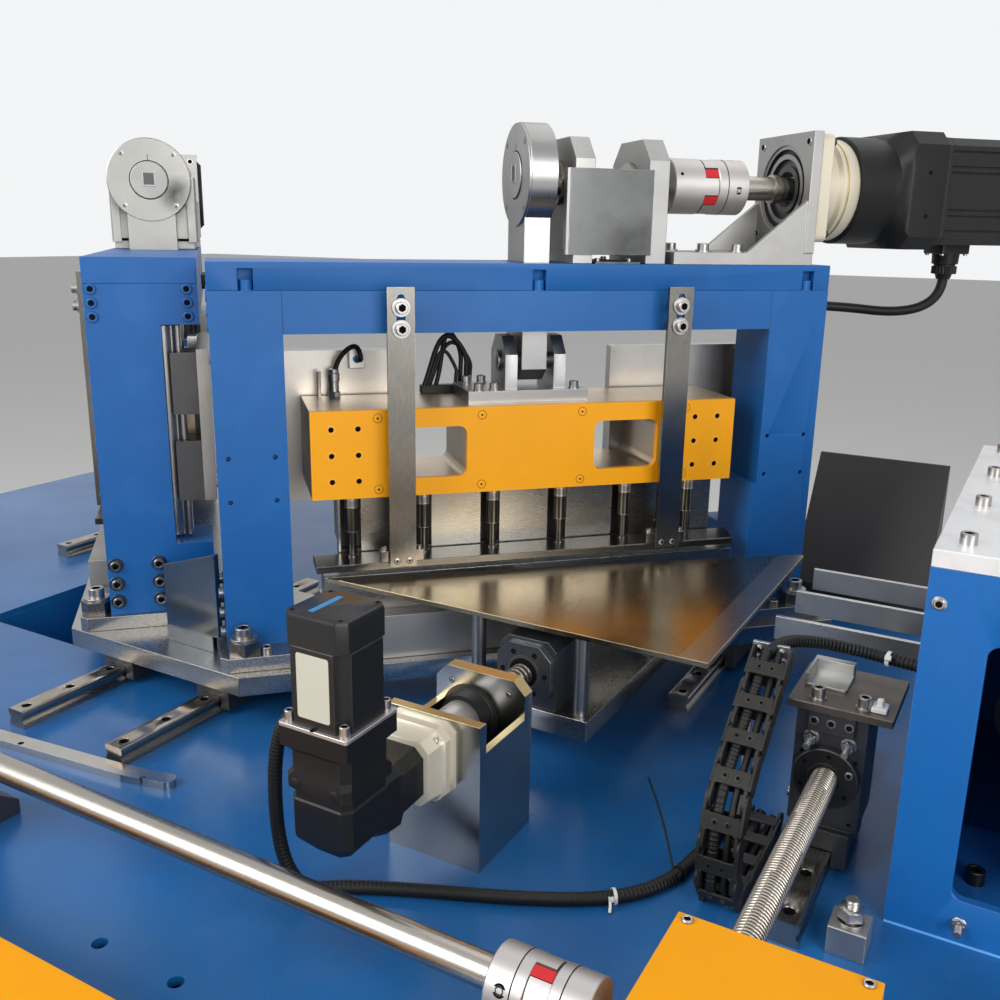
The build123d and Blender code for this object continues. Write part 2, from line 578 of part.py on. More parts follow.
# Lower beams under the cutting line, on the base plate
BEAM_U = (155.0, 873.0)
BEAM_V = (-50.0, 100.0)
BEAM_HIGH = LEG + 50.0
with BuildPart(PORTAL) as lower_beams:
    block(*BEAM_U, *BEAM_V, BASE_TOP, BEAM_HIGH)
    mirror(about=Plane.YZ)
lower_beams.part.label = "lower_beams"
export_step(lower_beams.part, "parts/lower_beams.step")

# Lower blades, flush with the table
with BuildPart(PORTAL) as lower_blades:
    block(*BEAM_U, -16, CUT_V, BEAM_HIGH, STRIP_Z)
    mirror(about=Plane.YZ)
lower_blades.part.label = "lower_blades"
export_step(lower_blades.part, "parts/lower_blades.step")

# Feet: thick bars under the portal legs, the apex one cut to the base plate's front edge
with BuildPart(PORTAL) as portal_feet:
    plan_shape(PORTAL, [(-12, -38), (0, -50), (150, -50), (150, PORTAL_DEEP), (-12, PORTAL_DEEP)],
               BASE_TOP, LEG)
    block(880, 1044, -50, PORTAL_DEEP, BASE_TOP, LEG)
    mirror(about=Plane.YZ)
portal_feet.part.label = "portal_feet"
export_step(portal_feet.part, "parts/portal_feet.step")

# Foot clamps: hexagon spacer, washer and cap screw on each foot
with BuildPart(PORTAL) as foot_clamps:
    for u in (26, 1004):
        with BuildSketch(PORTAL.offset(LEG)) as hexagon:
            with Locations((u, -24)):
                RegularPolygon(23, 6, major_radius=False)
        extrude(to_extrude=hexagon.sketch, amount=22)
        round_z(u, -24, LEG + 22, LEG + 26, 21)
        round_z(u, -24, LEG + 26, LEG + 42, 13)
    mirror(about=Plane.YZ)
foot_clamps.part.label = "foot_clamps"
export_step(foot_clamps.part, "parts/foot_clamps.step")

# Portal frames: two legs and a beam, notched behind for the ram rails, with small holes in the legs
with BuildPart(PORTAL) as portal_frames:
    inner_end = PORTAL_LONG - LEG_WIDE
    front_shape(PORTAL, [(0, LEG), (LEG_WIDE, LEG), (LEG_WIDE, BEAM_LOW), (inner_end, BEAM_LOW),
                         (inner_end, LEDGE_Z), (inner_end - LEDGE, LEDGE_Z), (inner_end - LEDGE, LEG),
                         (PORTAL_LONG, LEG), (PORTAL_LONG, BEAM_TOP), (0, BEAM_TOP)], 0, PORTAL_DEEP)
    for u0, u1 in ((0, LEG_WIDE), (inner_end - LEDGE, PORTAL_LONG)):
        block(u0, u1, NOTCH_V, PORTAL_DEEP, *NOTCH_Z, Mode.SUBTRACT)
    block(*ROD_SLOT_U, *ROD_SLOT_V, BEAM_LOW, BEAM_TOP, Mode.SUBTRACT)
    for u in LEG_HOLES_U:
        for z in LEG_HOLES_Z:
            round_y(u, 0, 12, z, 4, Mode.SUBTRACT)
    mirror(about=Plane.YZ)
portal_frames.part.label = "portal_frames"
export_step(portal_frames.part, "parts/portal_frames.step")

# Top plates of the portals, with the slot for the connecting rod and three screw pockets in front
with BuildPart(PORTAL) as top_plates:
    block(0, PORTAL_LONG, 0, PORTAL_DEEP, BEAM_TOP, TOP)
    block(*ROD_SLOT_U, *ROD_SLOT_V, BEAM_TOP, TOP, Mode.SUBTRACT)
    for u in POCKET_U:
        block(u - 11, u + 11, 0, 16, BEAM_TOP, BEAM_TOP + 32, Mode.SUBTRACT)
    mirror(about=Plane.YZ)
top_plates.part.label = "top_plates"
export_step(top_plates.part, "parts/top_plates.step")

# Cap screws in the apex end faces of the portals
with BuildPart(PORTAL) as portal_screws:
    for v in (12, 158):
        for z in (506, 528, 550):
            round_x(-3, 0, v, LEG + z, 8)
    for v in (14, 84):
        for z in (23, 55, 88):
            round_x(-8, 0, v, LEG + z, 9.5)
    mirror(about=Plane.YZ)
portal_screws.part.label = "portal_screws"
export_step(portal_screws.part, "parts/portal_screws.step")

# Gusset plate standing at the apex, in front of the left foot
with BuildPart(MACHINE) as gusset_plate:
    front_shape(MACHINE, [(-12, BASE_TOP), (90, BASE_TOP), (90, LEG + 4), (104, LEG + 4),
                          (104, LEG + 146), (-12, LEG + 110)], 12, 22)
gusset_plate.part.label = "gusset_plate"
export_step(gusset_plate.part, "parts/gusset_plate.step")

# Upright rails of the rams, on the rear of the portal legs
with BuildPart(PORTAL) as ram_rails:
    for u in (LEG_WIDE / 2, PORTAL_LONG - LEG_WIDE / 2):
        block(u - RAIL_WIDE / 2, u + RAIL_WIDE / 2, NOTCH_V, NOTCH_V + RAIL_HIGH, *RAM_RAIL_Z)
    mirror(about=Plane.YZ)
ram_rails.part.label = "ram_rails"
export_step(ram_rails.part, "parts/ram_rails.step")

# Hanger screws: spacer, shank, washer and head, fixed to the beams
with BuildPart(PORTAL) as hanger_screws:
    for u0 in HANGER_U:
        for z in HANGER_SCREW_Z:
            u = u0 + HANGER_WIDE / 2
            round_y(u, HANGER_V[1] + SLIDE, 0, z, 11)
            round_y(u, HANGER_V[0] - SLIDE, HANGER_V[1] + SLIDE, z, 6.8)
            round_y(u, HANGER_V[0] - SLIDE - 3, HANGER_V[0] - SLIDE, z, 14)
            round_y(u, HANGER_V[0] - SLIDE - 12, HANGER_V[0] - SLIDE - 3, z, 9.5)
    mirror(about=Plane.YZ)
hanger_screws.part.label = "hanger_screws"
export_step(hanger_screws.part, "parts/hanger_screws.step")

# Crank pillow blocks with cut corners
with BuildPart(PORTAL) as pillow_blocks:
    for u0, u1 in BLOCK_U:
        end_shape(PORTAL, [(MID_V - 80, TOP), (MID_V + 80, TOP), (MID_V + 80, BLOCK_TOP - 34),
                           (MID_V + 46, BLOCK_TOP), (MID_V - 46, BLOCK_TOP), (MID_V - 80, BLOCK_TOP - 34)],
                  u0, u1)
        round_x(u0, u1, MID_V, AXIS, JOURNAL_R, Mode.SUBTRACT)
    mirror(about=Plane.YZ)
pillow_blocks.part.label = "pillow_blocks"
export_step(pillow_blocks.part, "parts/pillow_blocks.step")

# Bent covers over the crank shafts: front and rear sheet joined under the shaft
with BuildPart(PORTAL) as crank_covers:
    sheet = 3.5
    for v0 in (MID_V - 80 - sheet, MID_V + 80):
        block(588, 717, v0, v0 + sheet, TOP, TOP + 135)
    block(600, 688, MID_V - 80, MID_V + 80, TOP, TOP + sheet)
    mirror(about=Plane.YZ)
crank_covers.part.label = "crank_covers"
export_step(crank_covers.part, "parts/crank_covers.step")

# Gearbox brackets: foot, upright flange with the big bore, two gussets
with BuildPart(PORTAL) as drive_brackets:
    block(737, FLANGE_U[1], 0, PORTAL_DEEP, TOP, TOP + 20)
    block(*FLANGE_U, MID_V - FLANGE_HALF, MID_V + FLANGE_HALF, TOP + 20, AXIS + FLANGE_HALF)
    round_x(*FLANGE_U, MID_V, AXIS, FLANGE_BORE, Mode.SUBTRACT)
    for v in (0, PORTAL_DEEP - 10):
        front_shape(PORTAL, [(870, TOP + 20), (FLANGE_U[0], TOP + 20), (FLANGE_U[0], TOP + 105)], v, v + 10)
    mirror(about=Plane.YZ)
drive_brackets.part.label = "drive_brackets"
export_step(drive_brackets.part, "parts/drive_brackets.step")

# Planetary gearboxes: square flange, light ring, dark round body
with BuildPart(PORTAL) as gearboxes:
    block(GEAR_U[0], GEAR_U[0] + 24, MID_V - 87.5, MID_V + 87.5, AXIS - 87.5, AXIS + 87.5)
    round_x(GEAR_U[0] + 24, GEAR_U[0] + 82, MID_V, AXIS, 84)
    round_x(GEAR_U[0] + 82, GEAR_U[1], MID_V, AXIS, 90)
    round_x(GEAR_U[0], GEAR_U[0] + 50, MID_V, AXIS, SHAFT_R + RUN, Mode.SUBTRACT)
    mirror(about=Plane.YZ)
gearboxes.part.label = "gearboxes"
export_step(gearboxes.part, "parts/gearboxes.step")

# Servo motors: adapter, body, elbow connector, and the cable that runs behind the portal
SERVO_CABLE_R = 9.0
SERVO_CABLE_BEND = 60.0
ELBOW_U = 1330.0
with BuildPart(PORTAL) as servo_motors:
    cut = 14
    low = AXIS - SERVO_HALF
    high = AXIS + SERVO_HALF
    near = MID_V - SERVO_HALF
    far = MID_V + SERVO_HALF
    end_shape(PORTAL, [(near + cut, low), (far - cut, low), (far, low + cut), (far, high - cut),
                       (far - cut, high), (near + cut, high), (near, high - cut), (near, low + cut)],
              SERVO_U[1], SERVO_U[2])
    block(SERVO_U[0], SERVO_U[1], MID_V - 98, MID_V + 98, AXIS - 98, AXIS + 98)
    block(ELBOW_U - 32, ELBOW_U + 32, MID_V - 28, MID_V + 28, low - 34, low)
    block(ELBOW_U - 16, ELBOW_U + 16, MID_V - 16, MID_V + 16, low - 62, low - 34)
    cable_start = PORTAL.from_local_coords((ELBOW_U, MID_V, low - 61))
    cable_v = PORTAL_DEEP + SERVO_CABLE_R + SLIDE
    with BuildLine() as servo_cable_path:
        FilletPolyline(
            cable_start,
            PORTAL.from_local_coords((ELBOW_U, MID_V, low - 135)),
            PORTAL.from_local_coords((1130, cable_v, low - 110)),
            PORTAL.from_local_coords((700, cable_v, low - 110)),
            radius=SERVO_CABLE_BEND)
    with BuildSketch(Plane(origin=cable_start, z_dir=(0, 0, -1))) as servo_cable_section:
        Circle(SERVO_CABLE_R)
    sweep(servo_cable_section.sketch, path=servo_cable_path.line)
    mirror(about=Plane.YZ)
servo_motors.part.label = "servo_motors"
export_step(servo_motors.part, "parts/servo_motors.step")
print("servo cable tube radius", SERVO_CABLE_R, "bend radius", SERVO_CABLE_BEND)

# Crank of the right shear: eccentric at top dead centre, shaft, jaw coupling, gearbox shaft
with BuildPart(PORTAL) as crank_right:
    round_x(ROD_U[0] - 2, ROD_U[1] + 7, MID_V, AXIS + THROW, ECC_R)
    for u0, u1 in BLOCK_U:
        round_x(u0 - 5, u1 + 2, MID_V, AXIS, JOURNAL_R - RUN)
    round_x(ROD_U[1] + 7, 775, MID_V, AXIS, SHAFT_R)
    for u0, u1, radius in ((753, 808, COUPLING_R), (808, 833, COUPLING_R - 3), (833, 888, COUPLING_R)):
        round_x(u0, u1, MID_V, AXIS, radius)
    round_x(888, GEAR_U[0] + 48, MID_V, AXIS, SHAFT_R)
crank_right.part.label = "crank_right"
export_step(crank_right.part, "parts/crank_right.step")

# Connecting rod: round big end, flat neck, and a small end with room for the wrist pin to shift
with BuildPart(PORTAL) as conrod_right:
    round_x(*ROD_U, MID_V, AXIS + THROW, DISC_R)
    block(ROD_U[0] + 1, ROD_U[1] - 1, MID_V - 47.5, MID_V + 47.5, WRIST_Z, AXIS + THROW)
    round_x(*ROD_U, MID_V, AXIS + THROW, ECC_R + RUN, Mode.SUBTRACT)
    end_shape(PORTAL, [(MID_V - 47.5, WRIST_Z), (MID_V - 47.5, WRIST_Z - 10), (MID_V - 25, WRIST_Z - 30),
                       (MID_V + 25, WRIST_Z - 30), (MID_V + 47.5, WRIST_Z - 10), (MID_V + 47.5, WRIST_Z)],
              ROD_U[0] + 1, ROD_U[1] - 1)
    with BuildSketch(facing_end(PORTAL, ROD_U[0])) as shift_slot:
        with Locations((MID_V, WRIST_Z)):
            SlotOverall(2 * (WRIST_R + THROW + 1), 2 * (WRIST_R + 3))
    extrude(to_extrude=shift_slot.sketch, amount=ROD_U[1] - ROD_U[0], mode=Mode.SUBTRACT)
conrod_right.part.label = "conrod_right"
export_step(conrod_right.part, "parts/conrod_right.step")

# Ram: body with two windows, blade holder, wings with carriages, spring sleeves, clevis and pin
HOLDER_FRONT = CUT_V + SLIDE + BLADE_THICK + SEAT
with BuildPart(PORTAL) as ram_right:
    block(*RAM_U, FACE_THICK + SEAT, RAM_BACK, *RAM_Z)
    for window in WINDOWS:
        round_window(PORTAL, window, 0, RAM_BACK, WINDOW_R)
    block(*BLADE_U, HOLDER_FRONT, HOLDER_FRONT + 34, LEG + 150, RAM_Z[0] - SEAT)
    for rail_u, outer_u, inner_u, ram_end in ((LEG_WIDE / 2, 18, 300, RAM_U[0]),
                                              (PORTAL_LONG - LEG_WIDE / 2, PORTAL_LONG - 18, 700, RAM_U[1])):
        block(*sorted((outer_u, inner_u)), CAR_BACK + SEAT, WING_BACK, LEG + 190, LEG + 450)
        block(*sorted((ram_end, inner_u)), RAM_BACK + SEAT, CAR_BACK + SEAT, LEG + 240, LEG + 370)
        for z in RAM_CAR_Z:
            block(rail_u - CAR_WIDE / 2, rail_u + CAR_WIDE / 2, NOTCH_V + 10, CAR_BACK,
                  z - RAM_CAR_LONG / 2, z + RAM_CAR_LONG / 2)
            block(rail_u - RAIL_WIDE / 2 - SLIDE, rail_u + RAIL_WIDE / 2 + SLIDE,
                  NOTCH_V + 10, NOTCH_V + RAIL_HIGH + SLIDE,
                  z - RAM_CAR_LONG / 2, z + RAM_CAR_LONG / 2, Mode.SUBTRACT)
    for u in PIN_U:
        round_z(u, PIN_V, LEG + 176, RAM_Z[0] - SEAT, SLEEVE_R)
        round_z(u, PIN_V, LEG + 176, RAM_Z[0] - SEAT, PIN_R + SLIDE, Mode.SUBTRACT)
    block(401, 607, 30, 145, RAM_Z[1] + SEAT, RAM_Z[1] + 20)
    for u0, u1 in EAR_U:
        end_shape(PORTAL, [(MID_V - 45, RAM_Z[1] + 20), (MID_V + 45, RAM_Z[1] + 20),
                           (MID_V + 45, WRIST_Z + 14),
                           (MID_V + 20, WRIST_Z + 43), (MID_V - 20, WRIST_Z + 43),
                           (MID_V - 45, WRIST_Z + 14)],
                  u0, u1)
    round_x(EAR_U[0][0] - 3, EAR_U[1][1] + 3, MID_V, WRIST_Z, WRIST_R)
ram_right.part.label = "ram_right"
export_step(ram_right.part, "parts/ram_right.step")

# Face plate of the ram, with windows and the two blocks of screw holes
FACE_HOLES_U = ((174.0, 216.0), (794.0, 836.0))
with BuildPart(PORTAL) as ram_face_right:
    block(*RAM_U, 0, FACE_THICK, *RAM_Z)
    for window in WINDOWS:
        round_window(PORTAL, window, 0, FACE_THICK, WINDOW_R)
    for columns in FACE_HOLES_U:
        for u in columns:
            for z in (LEG + 262, LEG + 304, LEG + 346):
                round_y(u, 0, FACE_THICK, z, 6, Mode.SUBTRACT)
ram_face_right.part.label = "ram_face_right"
export_step(ram_face_right.part, "parts/ram_face_right.step")

# Upper blade with a slanting edge
with BuildPart(PORTAL) as blade_right:
    front_shape(PORTAL, [(BLADE_U[0], BLADE_LOW[0]), (BLADE_U[1], BLADE_LOW[1]),
                         (BLADE_U[1], RAM_Z[0] - SEAT), (BLADE_U[0], RAM_Z[0] - SEAT)],
                CUT_V + SLIDE, CUT_V + SLIDE + BLADE_THICK)
blade_right.part.label = "blade_right"
export_step(blade_right.part, "parts/blade_right.step")

# Hold-down: pressure plate, guide pins, angle brackets, slotted hanger bars
with BuildPart(PORTAL) as hold_down_right:
    plan_shape(PORTAL, [(142, -30), (866, -30), (884, 30), (142, 30)], PLATE_LOW, PLATE_LOW + PLATE_THICK)
    for u in PIN_U:
        round_z(u, PIN_V, PLATE_LOW + PLATE_THICK, LEG + 205, PIN_R)
    for u in HANGER_U:
        block(u, u + HANGER_WIDE, HANGER_V[1], -4, PLATE_LOW + PLATE_THICK, PLATE_LOW + PLATE_THICK + 8)
        block(u, u + HANGER_WIDE, HANGER_V[1], -22, PLATE_LOW + PLATE_THICK + 8, PLATE_LOW + 52)
        block(u, u + HANGER_WIDE, *HANGER_V, PLATE_LOW + 6, LEG + 566)
        with BuildSketch(facing_front(PORTAL, HANGER_V[1])) as slot:
            with Locations((u + HANGER_WIDE / 2, LEG + 526)):
                SlotOverall(60, 14, rotation=90)
        extrude(to_extrude=slot.sketch, amount=8, mode=Mode.SUBTRACT)
hold_down_right.part.label = "hold_down_right"
export_step(hold_down_right.part, "parts/hold_down_right.step")

# The left shear is the mirror image of the right one
with BuildPart() as crank_left:
    mirror(crank_right.part, about=Plane.YZ)
crank_left.part.label = "crank_left"
export_step(crank_left.part, "parts/crank_left.step")

with BuildPart() as conrod_left:
    mirror(conrod_right.part, about=Plane.YZ)
conrod_left.part.label = "conrod_left"
export_step(conrod_left.part, "parts/conrod_left.step")

with BuildPart() as ram_left:
    mirror(ram_right.part, about=Plane.YZ)
ram_left.part.label = "ram_left"
export_step(ram_left.part, "parts/ram_left.step")

with BuildPart() as ram_face_left:
    mirror(ram_face_right.part, about=Plane.YZ)
ram_face_left.part.label = "ram_face_left"
export_step(ram_face_left.part, "parts/ram_face_left.step")

with BuildPart() as blade_left:
    mirror(blade_right.part, about=Plane.YZ)
blade_left.part.label = "blade_left"
export_step(blade_left.part, "parts/blade_left.step")

with BuildPart() as hold_down_left:
    mirror(hold_down_right.part, about=Plane.YZ)
hold_down_left.part.label = "hold_down_left"
export_step(hold_down_left.part, "parts/hold_down_left.step")
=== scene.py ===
import json
import math

import bmesh
import bpy
import numpy as np
from mathutils import Matrix

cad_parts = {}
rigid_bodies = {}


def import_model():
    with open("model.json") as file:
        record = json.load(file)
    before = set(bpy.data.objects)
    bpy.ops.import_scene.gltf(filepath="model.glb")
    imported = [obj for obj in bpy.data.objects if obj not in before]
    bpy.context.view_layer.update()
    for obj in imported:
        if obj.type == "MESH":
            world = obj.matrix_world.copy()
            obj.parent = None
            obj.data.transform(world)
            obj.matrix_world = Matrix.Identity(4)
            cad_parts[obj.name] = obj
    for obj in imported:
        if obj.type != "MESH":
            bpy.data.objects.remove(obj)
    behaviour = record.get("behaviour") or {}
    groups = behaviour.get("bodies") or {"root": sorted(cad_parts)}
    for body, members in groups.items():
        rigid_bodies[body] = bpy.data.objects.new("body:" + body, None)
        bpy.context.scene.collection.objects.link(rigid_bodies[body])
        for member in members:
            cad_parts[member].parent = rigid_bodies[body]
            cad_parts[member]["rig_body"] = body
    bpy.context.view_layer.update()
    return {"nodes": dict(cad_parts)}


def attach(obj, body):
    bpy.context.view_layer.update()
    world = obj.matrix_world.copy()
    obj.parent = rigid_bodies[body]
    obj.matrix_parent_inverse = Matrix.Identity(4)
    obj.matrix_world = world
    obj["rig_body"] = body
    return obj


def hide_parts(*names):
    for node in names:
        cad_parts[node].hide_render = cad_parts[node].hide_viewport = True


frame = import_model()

bl_info = {
    "name": "Shear section of a cut-to-length line",
    "version": (1, 0, 0),
    "blender": (4, 5, 0),
    "location": "3D View > Sidebar > Shear section",
    "description": "Dresses the packed shear section with its screws, threads, drives, paints and metals",
    "category": "Add Mesh",
}

MM = 0.001
R2 = math.sqrt(0.5)

# Main sizes of the machine in mm, the same as the solids have
FRONT_Y = -215.0
DECK = 760.0
LEG = 871.0
BEAM_TOP = LEG + 558.0
TOP = LEG + 600.0
AXIS = LEG + 726.0
APEX_X = 190.0 * R2
PORTAL_LONG, PORTAL_DEEP = 1030.0, 175.0
MID_V = PORTAL_DEEP / 2
RAM_Z = (LEG + 234.0, LEG + 375.0)
THROW = 10.0
STRIP_Z = LEG + 110.0
PIN_U = (205.0, 323.0, 441.0, 560.0, 678.0, 796.0)
HANGER_U = (279, 737)
WRIST = LEG + 438
GUIDE_X, GUIDE_Z, SHAFT_Y = 1052.0, DECK + 125.0, -430.0
CROSS_X, CROSS_Z = 617.0, DECK + 145.0
MOTOR_X, MOTOR_Y = 615.0, -320.0


# Places and meshes

def unit(vectors):
    """Vectors of length 1 with the same directions."""
    return vectors / np.linalg.norm(vectors, axis=-1, keepdims=True)


class Place:
    """A corner to measure from: a point goes from its own mm to metres in the frame."""

    def __init__(self, origin, x=(1, 0, 0), y=(0, 1, 0), z=(0, 0, 1)):
        self.origin = np.array(origin, float)
        self.axes = np.array((x, y, z), float)

    def __call__(self, points):
        return (self.origin + np.asarray(points, float) @ self.axes) * MM

    @property
    def mirrored(self):
        return np.linalg.det(self.axes) < 0

    def at(self, point, normal=(0, 0, 1), turn=0.0):
        """A place at a point of this one, its Z along normal and turned about it by so many degrees."""
        n = unit(np.array(normal, float))
        side = np.array((0, 0, 1.0)) if abs(n[2]) < 0.9 else np.array((0, 1.0, 0))
        y = unit(side - (side @ n) * n)
        x = np.cross(y, n)
        c, s = math.cos(math.radians(turn)), math.sin(math.radians(turn))
        return self.turned_to(point, (c * x + s * y, c * y - s * x, n))

    def turned_to(self, point, axes):
        """A place at a point of this one with its own axes, both given in this one's."""
        return Place(self.origin + np.asarray(point, float) @ self.axes, *(np.array(axes, float) @ self.axes))


MACHINE = Place((0, FRONT_Y, 0))
RIGHT = Place((APEX_X, FRONT_Y, 0), (R2, R2, 0), (-R2, R2, 0))
LEFT = Place((-APEX_X, FRONT_Y, 0), (-R2, R2, 0), (R2, R2, 0))
ON_DECK = Place((0, FRONT_Y, DECK))
METRES = Place((0, 0, 0), *np.eye(3) / MM)
SIDES = (("right", RIGHT), ("left", LEFT))


def on_both_sides(make):
    """Runs a maker once for the right portal and once for the left, with the side's name and place."""
    def maker():
        for side, place in SIDES:
            make(side, place)
    maker.__doc__ = make.__doc__
    return maker


class Skin:
    """Gathers grids of points into one mesh, each band of rows with its finish."""

    def __init__(self):
        self.points, self.quads, self.marks, self.flats, self.finishes = [], [], [], [], []
        self.count = 0

    def mark(self, finish):
        if finish not in self.finishes:
            self.finishes.append(finish)
        return self.finishes.index(finish)

    def lay(self, grid, place, finish, caps=(True, True), ring=False, strip=False):
        """One surface: rows of points, each row a closed outline. Caps close the first and last row, ring
        joins them to each other, and strip leaves the outlines open. A list of finishes has one for each
        band."""
        grid = np.asarray(grid, float)
        rows, cols = grid.shape[:2]
        number = np.arange(rows * cols).reshape(rows, cols) + self.count
        after = np.roll(number, -1, axis=1)
        low, high = (number, np.roll(number, -1, axis=0)) if ring else (number[:-1], number[1:])
        low_next, high_next = (after, np.roll(after, -1, axis=0)) if ring else (after[:-1], after[1:])
        quads = np.stack((low, low_next, high_next, high), axis=-1)
        if strip:
            quads = quads[:, :-1]
        bands = [finish] * len(quads) if isinstance(finish, str) else list(finish)
        marks = np.repeat([self.mark(band) for band in bands], quads.shape[1])
        quads = quads.reshape(-1, 4)
        back = place.mirrored
        self.points.append(place(grid.reshape(-1, 3)))
        self.quads.append(quads[:, ::-1] if back else quads)
        self.marks.append(marks)
        if not ring and not strip:
            for wanted, row, turn, band in ((caps[0], number[0], True, 0), (caps[1], number[-1], False, -1)):
                if wanted:
                    self.flats.append((row[::-1] if turn != back else row, self.mark(bands[band])))
        self.count += rows * cols

    def face(self, outline, place, finish):
        """One flat face, its outline run anticlockwise as seen from outside."""
        number = np.arange(len(outline)) + self.count
        self.points.append(place(outline))
        self.flats.append((number[::-1] if place.mirrored else number, self.mark(finish)))
        self.count += len(outline)

    def mesh(self, name):
        made = bpy.data.meshes.new(name)
        points = np.concatenate(self.points)
        quads = np.concatenate(self.quads) if self.quads else np.zeros((0, 4), int)
        marks = self.marks + [np.array([mark]) for _, mark in self.flats]
        corners = np.concatenate([quads.ravel()] + [row for row, _ in self.flats])
        sizes = np.concatenate([np.full(len(quads), 4)] + [np.array([len(row)]) for row, _ in self.flats])
        starts = np.concatenate(([0], np.cumsum(sizes)[:-1]))
        made.vertices.add(len(points))
        made.vertices.foreach_set("co", points.astype(np.float32).ravel())
        made.loops.add(len(corners))
        made.loops.foreach_set("vertex_index", corners.astype(np.int32))
        made.polygons.add(len(sizes))
        made.polygons.foreach_set("loop_start", starts.astype(np.int32))
        made.polygons.foreach_set("material_index", np.concatenate(marks).astype(np.int32))
        made.update(calc_edges=True)
        made.validate()
        shape = bmesh.new()
        shape.from_mesh(made)
        bmesh.ops.remove_doubles(shape, verts=shape.verts, dist=1e-6)
        shape.to_mesh(made)
        shape.free()
        return made


def shown(name, mesh, finishes, body, replaces=(), crease=34.0):
    """A piece of the machine: a mesh with its finishes and sharp edges, riding on its body."""
    piece = bpy.data.objects.new(name, mesh)
    bpy.context.scene.collection.objects.link(piece)
    for finish in finishes:
        mesh.materials.append(material(finish))
    mesh.polygons.foreach_set("use_smooth", np.ones(len(mesh.polygons), bool))
    mesh.set_sharp_from_angle(angle=math.radians(crease))
    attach(piece, body)
    if replaces:
        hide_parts(*replaces)
    return piece


def build(name, skin, body, replaces=(), crease=34.0, edge=0.0):
    """The piece of a skin, its sharp edges eased by so many mm."""
    piece = shown(name, skin.mesh(name), skin.finishes, body, replaces, crease)
    if edge:
        ease(piece, edge)
    return piece


def ease(piece, edge, steps=2):
    bevel = piece.modifiers.new("eased edges", "BEVEL")
    bevel.width = edge * MM
    bevel.segments = steps
    bevel.limit_method = "ANGLE"
    bevel.angle_limit = math.radians(38)
    bevel.harden_normals = True


def in_zone(centres, zone):
    """Which face centres lie in a box of a portal's own mm; side is 1 right, -1 left and 0 both."""
    side, low, high = zone
    x, y = abs(centres[:, 0]) / MM - APEX_X, centres[:, 1] / MM - FRONT_Y
    own = np.stack(((x + y) * R2, (y - x) * R2, centres[:, 2] / MM), axis=1)
    within = ((own > low) & (own < high)).all(axis=1)
    return within & (centres[:, 0] * side >= 0)


def eased(name, node, finish, body, edge=1.0):
    """A CAD node's own shape, its points merged and its flat faces joined up, with every sharp edge eased.
    Faces in a zone of the node get the zone's finish."""
    shape = bmesh.new()
    shape.from_mesh(frame["nodes"][node].data)
    bmesh.ops.remove_doubles(shape, verts=shape.verts, dist=1e-5)
    bmesh.ops.dissolve_limit(shape, angle_limit=math.radians(1), verts=shape.verts, edges=shape.edges)
    mesh = bpy.data.meshes.new(name)
    shape.to_mesh(mesh)
    shape.free()
    zones = ZONES.get(node, ())
    centres = np.zeros(len(mesh.polygons) * 3)
    mesh.polygons.foreach_get("center", centres)
    marks = np.zeros(len(mesh.polygons), np.int32)
    for number, (_, zone) in enumerate(zones, 1):
        marks[in_zone(centres.reshape(-1, 3), zone)] = number
    piece = shown(name, mesh, [finish] + [other for other, _ in zones], body, [node])
    mesh.polygons.foreach_set("material_index", marks)
    ease(piece, edge)
    return piece


# Outlines and profiles

def around(radius, turns):
    """Points of a circle at angles in degrees."""
    a = np.radians(turns)
    return radius * np.stack((np.cos(a), np.sin(a)), axis=1)


def circle(radius, count=32):
    """Points on a circle, the cosine and sine of equal steps of angle."""
    return around(radius, np.arange(count) * 360 / count)


def hexagon(across, count=24):
    """A circle of directions, each point pulled in to the flats of a hexagon of that width."""
    a = np.arange(count) * 2 * math.pi / count
    reach = across / 2 / np.cos((a + math.pi / 6) % (math.pi / 3) - math.pi / 6)
    return reach[:, None] * circle(1.0, count)


def rounded(outline, radius, steps=4):
    """A closed outline, run anticlockwise, with an arc of the radius in each corner. A list gives a radius
    each."""
    outline = np.asarray(outline, float)
    radii = np.broadcast_to(radius, len(outline))
    made = []
    for p, a, b, r in zip(outline, np.roll(outline, 1, axis=0), np.roll(outline, -1, axis=0), radii):
        if r <= 0:
            made.append(p[None])
            continue
        u, w = unit(a - p), unit(b - p)
        half = math.acos(np.clip(u @ w, -1, 1)) / 2
        centre = p + unit(u + w) * r / math.sin(half)
        start, end = p + u * r / math.tan(half) - centre, p + w * r / math.tan(half) - centre
        sweep = math.atan2(start[0] * end[1] - start[1] * end[0], start @ end)
        t = math.atan2(start[1], start[0]) + np.linspace(0, 1, steps + 1) * sweep
        made.append(centre + r * np.stack((np.cos(t), np.sin(t)), axis=1))
    return np.concatenate(made)


def corners(x, y=None):
    """The corners of a rectangle, x and y from its middle, run anticlockwise. Without y it is a square."""
    y = x if y is None else y
    return [(-x, -y), (x, -y), (x, y), (-x, y)]


def box(x, y, radius=0.0):
    return rounded(corners(x, y), radius)


def box_outline(x0, x1, y0, y1, radius=0.0, steps=4):
    return rounded([(x0, y0), (x1, y0), (x1, y1), (x0, y1)], radius, steps)


def divided(outline, per):
    """An outline with each of its sides divided evenly into so many."""
    outline = np.asarray(outline, float)
    t = np.arange(per)[None, :, None] / per
    return (outline[:, None] * (1 - t) + np.roll(outline, -1, axis=0)[:, None] * t).reshape(-1, 2)


def four_times(side):
    """One side of an outline and the same turned by one, two and three right angles."""
    return np.concatenate([np.array(side, float) @ np.array(((c, s), (-s, c)))
                           for c, s in ((1, 0), (0, 1), (-1, 0), (0, -1))])


